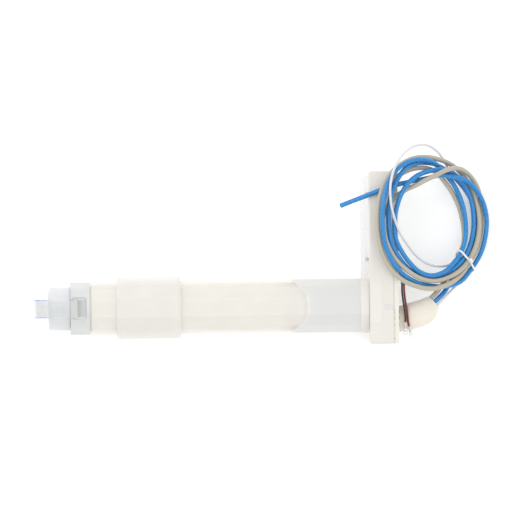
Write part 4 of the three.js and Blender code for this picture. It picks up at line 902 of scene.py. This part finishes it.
# %% Label
LABEL_WIDTH, LABEL_LENGTH, LABEL_THICKNESS = 15.3, 53.3, 0.25
LABEL_SIDE, LABEL_BELOW, LABEL_LIFT = 1.3, 23.5, 0.02
LABEL_CORNER, LABEL_EASE, LABEL_STEPS = 1.2, 0.08, 8
label_middle = np.array([HEAD_LEFT + LABEL_SIDE + LABEL_WIDTH / 2,
                         AXIS_Y - LABEL_BELOW + LABEL_LENGTH / 2])
label_outlines = [rounded(rectangle(LABEL_WIDTH / 2 - inset, LABEL_LENGTH / 2 - inset),
                          LABEL_CORNER - inset, LABEL_STEPS) for inset in (0, 0, LABEL_EASE)]
label_heights = HEAD_DEPTH + LABEL_LIFT + np.array([0, LABEL_THICKNESS - LABEL_EASE, LABEL_THICKNESS])
label_grid = np.stack([np.column_stack([outline + label_middle, np.full(len(outline), height)])
                       for outline, height in zip(label_outlines, label_heights)])
label = grid_piece("blank_label", label_grid)
dress(label, "base", "label_film", "label_plate")
print("label", LABEL_WIDTH, "by", LABEL_LENGTH, "mm")

# %% Tie
TIE_WIDTH, TIE_THICKNESS, TIE_GAP = 2.6, 1.1, 0.6
TIE_ROUND, TIE_POINTS, CIRCLE_POINTS = 0.35, 96, 24
LOCK_LENGTH, LOCK_HEIGHT, LOCK_ROUND = 5.5, 3.6, 0.6
LOCK_SHARES, LOCK_SIZE_SHARES = (-0.8, -0.72, 0.72, 0.8), (0.97, 1, 1, 0.97)
tie_angle = 2 * pi * COMPASS_START / COMPASS_POINTS
tie_up = np.array([sin(COIL_TILT), 0, cos(COIL_TILT)])
tie_out = (np.array([cos(COIL_TILT), 0, -sin(COIL_TILT)]) * cos(tie_angle)
           + np.array([0, sin(tie_angle), 0]))
tie_along = np.cross(tie_up, tie_out)


def crossing_circles(strands):
    """Circles of each cord where it crosses the tie, as places outwards and up from the centre"""
    ring = circle(CIRCLE_POINTS)
    found = []
    for one in strands:
        dense = smooth_path(one["settled"], TIE_WIDTH / 4) - COIL_CENTRE
        near = dense[(np.abs(dense @ tie_along) < TIE_WIDTH) & (dense @ tie_out > 0)]
        middles = np.stack([near @ tie_out, near @ tie_up], 1)
        found.append((middles[:, None] + ring * (one["radius"] + TIE_GAP)).reshape(-1, 2))
    return np.vstack(found)


for one, points in zip(strands, settled):
    one["settled"] = points
circles = crossing_circles([one for one in strands if one["radius"] > 0])
hull = closed(circles[geometry.convex_hull_2d(circles.tolist())])
along = distances(hull)
loop = resampled(np.linspace(0, along[-1], TIE_POINTS, endpoint=False), along, hull)
loop = (loop + np.roll(loop, 1, 0) + np.roll(loop, -1, 0)) / 3
away = np.roll(loop, 1, 0) - np.roll(loop, -1, 0)
away = np.stack([away[:, 1], -away[:, 0]], 1) / np.linalg.norm(away, axis=1, keepdims=True)
away *= np.sign((away * (loop - loop.mean(0))).sum(1, keepdims=True))
band_section = rounded(rectangle(TIE_THICKNESS / 2, TIE_WIDTH / 2), TIE_ROUND, 4)
band_section = band_section + (TIE_THICKNESS / 2, 0)
flat_grid = loop[:, None] + away[:, None] * band_section[None, :, :1]


def tie_place(flat, along):
    """Row-frame points from places outwards and up, and along the bundle"""
    return COIL_CENTRE + flat[..., :1] * tie_out + flat[..., 1:] * tie_up + along[..., None] * tie_along


tie_grid = tie_place(flat_grid, np.broadcast_to(band_section[:, 1], flat_grid.shape[:2]))
tie = grid_piece("tie_band", tie_grid, ring=True, smooth_angle=40)
top = loop[loop[:, 1].argmax()]
lock_outline = rounded(rectangle(LOCK_LENGTH / 2, (LOCK_HEIGHT + TIE_THICKNESS) / 2), LOCK_ROUND,
                       EDGE_STEPS)
lock_outline = lock_outline + (0, LOCK_HEIGHT / 2 + TIE_THICKNESS)
lock_grid = np.stack([tie_place(lock_outline * size + top, np.full(len(lock_outline), share * TIE_WIDTH))
                      for share, size in zip(LOCK_SHARES, LOCK_SIZE_SHARES)])
lock = grid_piece("tie_lock", lock_grid)
dress(tie, "base", "white_plastic", "cable_tie")
dress(lock, "base", "white_plastic")
print("tie loop", round(path_length(loop)), "mm round")


# %% [markdown]
# ## Crimp terminals
# Each core ends in a tinned ring terminal whose barrel sits in a clear sleeve. The parts are made
# along the X axis from the barrel's start, and then turned to the core's direction.

# %% Terminals
SLEEVE_PROFILE = [(0.1, 1.75), (0.35, 2), (7.7, 2), (7.95, 1.75), (7.95, 1.6), (0.1, 1.6)]
BARREL_LENGTH, BARREL_RADIUS, BARREL_END = 8, 1.5, 0.3
CRIMP_DEPTH, CRIMP_WIDTH = 0.35, 1.3
TONGUE_LENGTH, TONGUE_THICKNESS, TONGUE_EASE = 9, 1, 0.15
TONGUE_RADIUS, EYE_RADIUS = 3.2, 1.6
NECK_START, NECK_END, NECK_POINTS, NECK_ROUND_SHARE = 1.2, 0.4, 8, 0.3
NECK_HALF_WIDTHS, NECK_HALF_HEIGHTS = (1.3, 1.6, 2.2), (1.1, 0.5)
TERMINAL_COLUMNS, EYE_COLUMNS, BARREL_POINTS = 28, 36, 15


def turned_grid(profile):
    """Points of a (place, radius) profile turned about the X axis"""
    profile = np.asarray(profile, float)
    place = np.broadcast_to(profile[:, :1], (len(profile), TERMINAL_COLUMNS))
    cosine, sine = circle(TERMINAL_COLUMNS).T
    return np.stack([place, profile[:, 1:] * cosine, profile[:, 1:] * sine], 2)


def placed_along(grid, start, direction):
    """A grid made along X, turned the short way to a direction and moved to a start"""
    turn = Vector((1, 0, 0)).rotation_difference(Vector(direction)).to_matrix()
    return grid @ np.array(turn).T + start


def barrel_grid():
    """A tube with a waist: its radius dips in a bell curve where the tool pressed it"""
    x = np.linspace(BARREL_END, BARREL_LENGTH - BARREL_END, BARREL_POINTS)
    dip = CRIMP_DEPTH * np.exp(-((x - BARREL_LENGTH / 2) / CRIMP_WIDTH) ** 2)
    return turned_grid(np.stack([x, BARREL_RADIUS - dip], 1))


def eye_grid(middle):
    """The flat ring round the terminal's eye, its outer edges eased"""
    half, outer = TONGUE_THICKNESS / 2, TONGUE_RADIUS - TONGUE_EASE
    profile = [(EYE_RADIUS, -half), (EYE_RADIUS, half), (outer, half),
               (TONGUE_RADIUS, half - TONGUE_EASE), (TONGUE_RADIUS, TONGUE_EASE - half), (outer, -half)]
    return np.stack([np.column_stack([circle(EYE_COLUMNS) * radius + (middle, 0),
                                      np.full(EYE_COLUMNS, height)]) for radius, height in profile])


def neck_grid(middle):
    """The stretch from the round barrel to the flat tongue: it widens as it thins"""
    x = np.linspace(BARREL_LENGTH - NECK_START, middle - EYE_RADIUS - NECK_END, NECK_POINTS)
    wide = np.interp(x, [x[0], x[3], x[-1]], NECK_HALF_WIDTHS)
    thick = np.interp(x, [x[0], x[3]], NECK_HALF_HEIGHTS)
    outline = rounded(rectangle(1, 1), NECK_ROUND_SHARE, 4)
    sections = outline * np.stack([wide, thick], 1)[:, None]
    places = np.broadcast_to(x[:, None, None], (*sections.shape[:2], 1))
    return np.concatenate([places, sections], 2)


def terminal(number, start, direction):
    """Clear sleeve, metal barrel with a crimped waist, and ring tongue"""
    middle = BARREL_LENGTH + TONGUE_LENGTH - TONGUE_RADIUS
    parts = (("crimp_sleeve", turned_grid(SLEEVE_PROFILE), True), ("crimp_barrel", barrel_grid(), False),
             ("crimp_ring", eye_grid(middle), True), ("crimp_neck", neck_grid(middle), False))
    made = []
    for word, grid, ring in parts:
        piece = grid_piece(f"{word}_{number}", placed_along(grid, start, direction), ring)
        if word == "crimp_sleeve":
            dress(piece, "base", "clear_plastic", f"crimp_terminal_{number}")
        else:
            dress(piece, "base", "terminal_metal")
        made.append(piece)
    return made


for number, name in enumerate(CORES, 1):
    path = paths[name]
    direction = path[-1] - path[-2]
    direction /= np.linalg.norm(direction)
    terminal(number, path[-1] + direction * FIT, direction)


# %% [markdown]
# ## What each cord is
# A cord is bought by its length, its stiffness and what is fitted to its end. The cores are limp,
# and the rest keep the coil that they were wound in. Here each cord's radius is worked out, and
# whether it is a core, and the cords are counted.

# %% Cords counted
for name, path in paths.items():
    radius = RADIUS.get(name, RADIUS["core"])
    is_core = name in CORES
    2 * radius * MM
print(len(paths), "cords")


# %% [markdown]
# ## Writing a finish as sums
# A material is a small program of nodes. Writing it as sums of values keeps that program readable,
# so one class stands for a socket, and each operator on it adds a Math node.

# %% Values and finishes
class Value:
    """A node's output that takes part in sums, with a number or another value on either side"""

    def __init__(self, finish, socket):
        self.finish, self.socket = finish, socket

    def math(self, operation, *values):
        return self.finish.node("Math", {"operation": operation}, dict(enumerate(values)))

    def __add__(self, other):
        return self.math("ADD", self, other)

    __radd__ = __add__

    def __mul__(self, other):
        return self.math("MULTIPLY", self, other)

    __rmul__ = __mul__

    def __sub__(self, other):
        return self.math("SUBTRACT", self, other)

    def __rsub__(self, other):
        return self.math("SUBTRACT", other, self)

    def __pow__(self, other):
        return self.math("POWER", self, other)

    def between(self, low, high):
        """Nought below low, one above high, and a smooth step from one to the other"""
        return self.finish.node("MapRange", {"interpolation_type": "SMOOTHSTEP"},
                                {"Value": self, "From Min": low, "From Max": high})

    def past(self, place, blur):
        """Nought before a place in millimetres, one past it, and a smooth step over the blur"""
        return self.between((place - blur / 2) * MM, (place + blur / 2) * MM)

    def off(self, middle):
        """Distance to the middle, on either side"""
        return self.math("ABSOLUTE", self - middle)


class Finish:
    """One material: its constant sockets, and nodes for what varies over the surface"""

    def __init__(self, name, **constants):
        self.material = bpy.data.materials.new(name)
        self.material.use_nodes = True
        self.nodes = self.material.node_tree.nodes
        self.links = self.material.node_tree.links
        self.shader = self.nodes["Principled BSDF"]
        for socket, value in constants.items():
            self.shader.inputs[socket.replace("_", " ")].default_value = value
        self.place = self.node("TexCoord", output="Object")
        parts = self.node("SeparateXYZ", {}, {0: self.place})
        self.x, self.y, self.z = [Value(self, parts.socket.node.outputs[k]) for k in range(3)]

    def node(self, kind, settings=None, inputs=None, output=0):
        """Adds a node: its settings first, and then its sockets' values or links"""
        made = self.nodes.new("ShaderNode" + kind)
        for name, value in (settings or {}).items():
            setattr(made, name, value)
        for name, value in (inputs or {}).items():
            self.feed(made.inputs[name], value)
        return Value(self, made.outputs[output])

    def feed(self, socket, value):
        """Links a value to a socket, or sets a plain number or colour on it"""
        if isinstance(value, Value):
            self.links.new(value.socket, socket)
        elif hasattr(value, "__len__") and len(value) == 3 and socket.type == "RGBA":
            socket.default_value = (*value, 1)
        else:
            socket.default_value = value

    def sets(self, **values):
        """Feeds the shader's sockets"""
        for name, value in values.items():
            self.feed(self.shader.inputs[name.replace("_", " ")], value)

    def stretched(self, x=1, y=1, z=1):
        """Object coordinates scaled on each axis, for a grain that runs one way"""
        return self.node("Mapping", {}, {"Vector": self.place, "Scale": (x, y, z)})

    def grain(self, size, detail=2, vector=None):
        """Noise from nought to one whose features measure about the size in millimetres"""
        return self.node("TexNoise", {}, {"Vector": vector or self.place, "Scale": 1 / (size * MM),
                                          "Detail": detail})

    def mix(self, share, first, second):
        """First colour where the share is nought, and second where it is one"""
        return self.node("Mix", {"data_type": "RGBA"}, {0: share, 6: first, 7: second}, output=2)

    def bump(self, height, depth):
        """A dent or ridge whose height from nought to one stands for the depth in millimetres"""
        return self.node("Bump", {}, {"Strength": 1, "Distance": depth * MM, "Height": height})


METRE = 1000
DRIFT_SIZE, GLOSS_SIZE = 34, 9


def moulded(name, colour, other, roughness, texture=0.4, depth=0.02, **constants):
    """Moulded plastic: a slow drift between two colours, uneven gloss and a fine texture"""
    finish = Finish(name, **constants)
    drift = finish.grain(DRIFT_SIZE, 3).between(0.3, 0.7)
    uneven = (finish.grain(GLOSS_SIZE, 3) - 0.5) * 0.12
    finish.sets(Base_Color=finish.mix(drift, colour, other),
                Roughness=roughness + uneven,
                Normal=finish.bump(finish.grain(texture), depth))
    return finish


finishes = {}

# %% [markdown]
# ## Milky mouldings
# The tube, sleeve, cap and plug are polypropylene-like mouldings that let some light through. A
# partly clear surface shows the darker things behind it weakly, as the photo does, and bakes well.
# Fine lines run along the tube, from the way that the melt flows into its long mould. A faint
# glow stands for light scattered inside the wall. Past the dome the tube is empty and its inside
# lies in shade, so painted shade makes its tone greyer along a curve that follows the dome. The
# slot in the cap is shaded where the strap's arms leave it open.

# %% Tube, sleeve, cap and plug
FLOW_SCALES, MILKY_DEPTH = (6, 260, 260), 0.03
BLOOM_SIZE, RIPPLE_SIZE = 26, 5
TUBE_WARM, TUBE_PALE, TUBE_HOLLOW_SHADE = (0.83, 0.81, 0.755), (0.85, 0.835, 0.79), (0.60, 0.605, 0.595)
TUBE_ALPHA, HOLLOW_SHADE_ALPHA = 0.48, 0.34
HOLLOW_SHADE_PLACE, HOLLOW_SHADE_BLUR = VESSEL_RIGHT + 2, 6
DOME_CURVE = 0.02  # how far the dome's outline falls back, for each mm off the axis squared
SLOT_HALF_WIDTH, SLOT_FLOOR, SLOT_SHADE = 11, 31.5, (0.42, 0.43, 0.42)
SHADE_LEFT, SHADE_FADING = CAP_LEFT + 9.1, CAP_LEFT + 15.5


def milky(name, colour, other, alpha, roughness, glow):
    """Milky moulding with flow lines along X, and a bloom of slightly different tone"""
    finish = Finish(name, Alpha=alpha, Coat_Weight=0.25, Coat_Roughness=0.12, IOR=1.49,
                    Emission_Color=(1, 0.98, 0.94, 1), Emission_Strength=glow)
    lines = finish.grain(METRE, 3, finish.stretched(*FLOW_SCALES))
    finish.tone = finish.mix(finish.grain(BLOOM_SIZE, 3).between(0.35, 0.7), colour, other)
    finish.sets(Base_Color=finish.tone,
                Roughness=roughness + lines * 0.08,
                Normal=finish.bump(lines + finish.grain(RIPPLE_SIZE) * 0.6, MILKY_DEPTH))
    return finish


milky_tube = milky("milky_tube", TUBE_WARM, TUBE_PALE, TUBE_ALPHA, 0.3, 0.16)
# Painted shade: past the dome's curved outline the tube turns greyer and less clear, for the shaded
# empty inside
dome_place = milky_tube.x + milky_tube.y.off(AXIS_Y * MM) ** 2 * (DOME_CURVE / MM)
hollow_shade = dome_place.past(HOLLOW_SHADE_PLACE, HOLLOW_SHADE_BLUR)
milky_tube.sets(Base_Color=milky_tube.mix(hollow_shade, milky_tube.tone, TUBE_HOLLOW_SHADE),
                Alpha=TUBE_ALPHA + hollow_shade * HOLLOW_SHADE_ALPHA)
cool_cap = milky("cool_cap", (0.69, 0.70, 0.695), (0.725, 0.735, 0.725), 0.9, 0.34, 0)
across_slot = 1 - cool_cap.y.off(AXIS_Y * MM).past(SLOT_HALF_WIDTH, 1)
slot_floor = 1 - cool_cap.z.off(AXIS_Z * MM).past(SLOT_FLOOR, 1.4)
fading = 1 - cool_cap.x.past(SHADE_FADING, 13)
slot_shade = slot_floor * across_slot * cool_cap.x.past(SHADE_LEFT, 1) * (fading * 0.6 + 0.25)
cool_cap.sets(Base_Color=cool_cap.mix(slot_shade, cool_cap.tone, SLOT_SHADE))
milky_sleeve = milky("milky_sleeve", (0.81, 0.795, 0.75), (0.83, 0.815, 0.77), 0.6, 0.3, 0.06)
bluish_plug = milky("bluish_plug", (0.75, 0.765, 0.785), (0.775, 0.785, 0.80), 0.88, 0.34, 0)
finishes.update(tube_plastic=milky_tube, cap_plastic=cool_cap,
                sleeve_plastic=milky_sleeve, plug_plastic=bluish_plug)
print("milky finishes:", list(finishes))

# %% [markdown]
# ## The vessel and its salt
# A blown wall looks deepest in colour where it is seen edge on, so the amber tone follows the angle
# of view, and only near the dome, where the wall is thickest. The salt is a packed mass of small
# crystals: cells of a Voronoi pattern give their slopes, and a fine noise varies their tone.

# %% Vessel and salt
AMBER_PLACE, AMBER_BLUR = VESSEL_RIGHT - 28, 24
CLOUD_SIZE, WAVE_SIZE, WAVE_DEPTH = 7, 12, 0.05
CRYSTAL_SIZE, CRYSTAL_DEPTH, SALT_TONE_SIZE = 1.6, 0.5, 1.4
clear_vessel = Finish("clear_vessel", IOR=1.49, Coat_Weight=0.4)
edge_on = clear_vessel.node("LayerWeight", {}, {"Blend": 0.5}, output="Facing").between(0.25, 0.65)
clouds = clear_vessel.grain(CLOUD_SIZE, 3).between(0.35, 0.65)
amber = clear_vessel.x.past(AMBER_PLACE, AMBER_BLUR) * edge_on * (clouds * 0.4 + 0.6)
clear_vessel.sets(Base_Color=clear_vessel.mix(amber, (0.84, 0.82, 0.76), (0.30, 0.11, 0.05)),
                  Alpha=0.4 + amber * 0.6,
                  Roughness=0.16 + clouds * 0.08,
                  Normal=clear_vessel.bump(clear_vessel.grain(WAVE_SIZE), WAVE_DEPTH))
salt = Finish("salt_crystals")
crystals = {"Vector": salt.place, "Scale": 1 / (CRYSTAL_SIZE * MM)}
cells = salt.node("TexVoronoi", {"feature": "F1"}, crystals)
grains = salt.grain(SALT_TONE_SIZE, 3)
salt.sets(Base_Color=salt.mix(grains.between(0.3, 0.7), (0.86, 0.84, 0.77), (0.72, 0.69, 0.60)),
          Roughness=0.4 + grains * 0.3,
          Normal=salt.bump(cells, CRYSTAL_DEPTH))
finishes.update(vessel_plastic=clear_vessel, salt=salt)
print("crystals of", CRYSTAL_SIZE, "mm")

# %% [markdown]
# ## The strap
# Its faces are nearly clear and its edges carry a strong blue that fades toward the cap, where
# less light reaches them. The attribute edge, kept on each point when the strap was made, says how
# close to an edge the surface is.

# %% Strap finish
FADE_PLACE, FADE_BLUR, HAZE_SIZE, HAZE_DEPTH = -247, 28, 11, 0.06
strap_finish = Finish("blue_edged_strap", Coat_Weight=0.5, Coat_Roughness=0.08, IOR=1.5)
across = strap_finish.node("Attribute", {"attribute_name": "edge"}, output="Fac")
edge_share = across.off(0).between(0.9, 0.97)
loop_share = 1 - strap_finish.x.past(FADE_PLACE, FADE_BLUR)
haze = strap_finish.grain(HAZE_SIZE, 3)
blue_share = edge_share * loop_share
strap_finish.sets(Base_Color=strap_finish.mix(blue_share, (0.70, 0.72, 0.715), (0.10, 0.16, 0.62)),
                  Alpha=0.14 + loop_share * 0.2 + edge_share * 0.1 + blue_share * 0.56,
                  Roughness=0.14 + haze * 0.12,
                  Normal=strap_finish.bump(haze, HAZE_DEPTH))
finishes["strap_plastic"] = strap_finish
print("strap blue left of", FADE_PLACE, "mm")

# %% [markdown]
# ## The head, its cover and small mouldings
# A power head is moulded in a tool with a spark-eroded face, which leaves an even, very fine
# texture that takes the shine away. The cover is a second moulding, a little yellower.

# %% Plain mouldings
# Each row: the name, its two colours, its roughness, and the size and depth of its fine texture
MOULDINGS = {
    "shell_plastic": ("head_moulding", (0.725, 0.70, 0.65), (0.745, 0.72, 0.67), 0.48, 0.35, 0.015),
    "cover_plastic": ("cover_moulding", (0.75, 0.745, 0.66), (0.77, 0.76, 0.68), 0.42, 0.35, 0.015),
    "label_film": ("blank_film", (0.75, 0.73, 0.69), (0.74, 0.72, 0.68), 0.34, 2.5, 0.01),
    "white_plastic": ("white_moulding", (0.80, 0.80, 0.79), (0.83, 0.83, 0.82), 0.38, 0.5, 0.02),
    "strip_plastic": ("black_moulding", (0.025, 0.025, 0.027), (0.04, 0.04, 0.042), 0.4, 0.4, 0.02),
    "capacitor_can": ("shrink_sleeve", (0.012, 0.012, 0.014), (0.03, 0.03, 0.035), 0.3, 0.6, 0.02),
    "seal_silicone": ("pale_silicone", (0.80, 0.78, 0.70), (0.78, 0.76, 0.68), 0.5, 0.4, 0.02),
    "seal_rubber": ("black_rubber", (0.014, 0.014, 0.014), (0.03, 0.03, 0.03), 0.6, 0.25, 0.03),
    "boot_rubber": ("beige_rubber", (0.83, 0.775, 0.68), (0.80, 0.74, 0.65), 0.5, 0.6, 0.03),
}
finishes.update({slot: moulded(*facts) for slot, facts in MOULDINGS.items()})
finishes["clear_plastic"] = moulded("clear_moulding", (0.82, 0.84, 0.84), (0.84, 0.85, 0.84), 0.12,
                                    3, 0.02, Alpha=0.2, Coat_Weight=0.5, IOR=1.49)
finishes["lens_plastic"] = moulded("frosted_lens", (0.67, 0.67, 0.67), (0.69, 0.69, 0.69), 0.25,
                                   0.3, 0.01, Coat_Weight=0.3)
print(len(MOULDINGS) + 2, "plain mouldings")

# %% [markdown]
# ## Cords
# Extruded tubing has a skin that is smooth round and slightly wavy along, so the grain follows the
# distance along the cord, which each cord keeps as the attribute length. The wire's insulation is
# thin over its strands, and shows a faint lay.

# %% Cord finishes
CORD_DEPTH, BAND_SCALE, WEAR_SIZE, PITTING_SIZE = 0.04, 60, 4, 1.5


def extruded(name, colour, other, roughness, coat):
    """Skin of a drawn cord: slow bands along it, fine wear, and a soft waviness"""
    finish = Finish(name, Coat_Weight=coat, Coat_Roughness=0.1, IOR=1.5)
    length = finish.node("Attribute", {"attribute_name": "length"}, output="Fac")
    bands = finish.node("TexNoise", {"noise_dimensions": "1D"},
                        {"W": length, "Scale": BAND_SCALE, "Detail": 2})
    wear = finish.grain(WEAR_SIZE, 4).between(0.45, 0.75)
    finish.sets(Base_Color=finish.mix(bands * 0.6 + wear * 0.4, colour, other),
                Roughness=roughness + wear * 0.1,
                Normal=finish.bump(bands + finish.grain(PITTING_SIZE) * 0.3, CORD_DEPTH))
    return finish


# Each row: the name, its two colours, its roughness and its gloss
EXTRUSIONS = {
    "blue_tube": ("blue_tubing", (0.008, 0.20, 0.52), (0.014, 0.25, 0.60), 0.24, 0.3),
    "grey_jacket": ("grey_jacket", (0.45, 0.41, 0.33), (0.49, 0.45, 0.37), 0.42, 0.1),
    "white_wire": ("pale_wire", (0.72, 0.72, 0.73), (0.66, 0.66, 0.68), 0.25, 0.4),
    "black_wire": ("black_core", (0.018, 0.018, 0.02), (0.03, 0.03, 0.033), 0.35, 0.2),
    "red_wire": ("red_core", (0.19, 0.012, 0.010), (0.25, 0.02, 0.015), 0.35, 0.2),
}
finishes.update({slot: extruded(*facts) for slot, facts in EXTRUSIONS.items()})
print(len(EXTRUSIONS), "cord finishes")

# %% [markdown]
# ## Metals and board
# Turned and stamped metal keeps fine lines from the tool. The board is green laminate with a
# woven glass cloth just below its lacquer, and the transformer's core is a stack of varnished sheets.

# %% Metals
LINE_SCALES, STACK_SCALES = (900, 900, 20), (30, 1400, 30)
LINE_DEPTH, STACK_DEPTH, PATCH_SIZE = 0.01, 0.05, 8


def drawn_metal(name, colour, other, roughness, stretch=LINE_SCALES, depth=LINE_DEPTH):
    """Metal with fine tool lines along one axis and a slow change of tone"""
    finish = Finish(name, Metallic=1)
    lines = finish.grain(METRE, 2, finish.stretched(*stretch))
    finish.sets(Base_Color=finish.mix(finish.grain(PATCH_SIZE, 3), colour, other),
                Roughness=roughness + lines * 0.15, Normal=finish.bump(lines, depth))
    return finish


# Each row: the name, its two colours and its roughness
METALS = {
    "stainless_steel": ("stainless", (0.6, 0.6, 0.6), (0.7, 0.7, 0.71), 0.22),
    "coated_plate": ("coated_plate", (0.22, 0.215, 0.21), (0.28, 0.27, 0.26), 0.45),
    "brass": ("brass_nut", (0.62, 0.45, 0.17), (0.7, 0.52, 0.22), 0.28),
    "terminal_metal": ("tinned", (0.66, 0.67, 0.68), (0.74, 0.74, 0.75), 0.2),
}
finishes.update({slot: drawn_metal(*facts) for slot, facts in METALS.items()})
finishes["transformer_metal"] = drawn_metal("varnished_core", (0.30, 0.26, 0.21), (0.36, 0.32, 0.26),
                                            0.5, STACK_SCALES, STACK_DEPTH)
print(len(METALS) + 1, "metals")

# %% Board
WEAVE_SCALE, WEAVE_DEPTH = 300, 0.02
board = Finish("green_board", Coat_Weight=0.4, Coat_Roughness=0.15)
weave = {"Vector": board.place, "Scale": WEAVE_SCALE}
warp, weft = [board.node("TexWave", {"bands_direction": axis}, weave) for axis in "YZ"]
cloth = warp * weft
board.sets(Base_Color=board.mix(cloth * 0.5, (0.012, 0.10, 0.045), (0.02, 0.15, 0.07)),
           Roughness=0.35 + cloth * 0.1, Normal=board.bump(cloth, WEAVE_DEPTH))
finishes["board_laminate"] = board
print(len(finishes), "finishes")


# %% [markdown]
# ## Dressing every surface
# A CAD node that stays in view takes its finish through its object's material slots. Each new
# piece takes the finish of the slot that it stands for, except the cover, which has its own.

# %% Finishes to pieces
node_slots = {part["node"]: part["material_slot"] for part in frame["record"]["subparts"]}
for name, node in frame["nodes"].items():
    for holder in node.material_slots:
        holder.material = finishes[node_slots[name]].material
for piece in [p for p in bpy.data.objects if "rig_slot" in p]:
    piece.data.materials.clear()
    piece.data.materials.append(finishes[piece["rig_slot"]].material)
cover.data.materials[0] = finishes["cover_plastic"].material


# %% [markdown]
# ## Studio
# The photo was taken on white under large soft lights from above and the left, so shadows are
# faint. A wide pale floor, an even white surround and two big area lights give the same.

# %% Floor and light
FLOOR_HALF, FLOOR_DROP, SURROUND_STRENGTH = 4000, 0.1, 0.95
floor_mesh = bpy.data.meshes.new("floor")
corners = np.array([(-1, -1), (1, -1), (1, 1), (-1, 1)]) * FLOOR_HALF
floor_mesh.from_pydata([(x * MM, y * MM, -FLOOR_DROP * MM) for x, y in corners], [], [(0, 1, 2, 3)])
floor = bpy.data.objects.new("floor", floor_mesh)
bpy.context.scene.collection.objects.link(floor)
paper = moulded("paper_floor", (0.9, 0.9, 0.9), (0.91, 0.91, 0.91), 0.8, 3, 0.02,
                Emission_Color=(1, 1, 1, 1), Emission_Strength=0.25)
floor_mesh.materials.append(paper.material)

world = bpy.data.worlds.new("surround")
world.use_nodes = True
sky = world.node_tree.nodes["Background"]
sky.inputs["Color"].default_value = (1, 1, 1, 1)
sky.inputs["Strength"].default_value = SURROUND_STRENGTH
bpy.context.scene.world = world
bpy.context.scene.view_settings.view_transform = "Standard"


def softbox(name, place, size, power):
    """A square area light at a place in metres, turned towards the middle of the object"""
    light = bpy.data.lights.new(name, "AREA")
    light.size, light.energy = size, power
    lamp = bpy.data.objects.new(name, light)
    lamp.location = place
    lamp.rotation_euler = (-Vector(place)).to_track_quat("-Z", "Y").to_euler()
    bpy.context.scene.collection.objects.link(lamp)


softbox("key", (-0.9, 0.9, 1.9), 1.4, 12)
softbox("fill", (1.2, -0.5, 1.8), 1.6, 5)
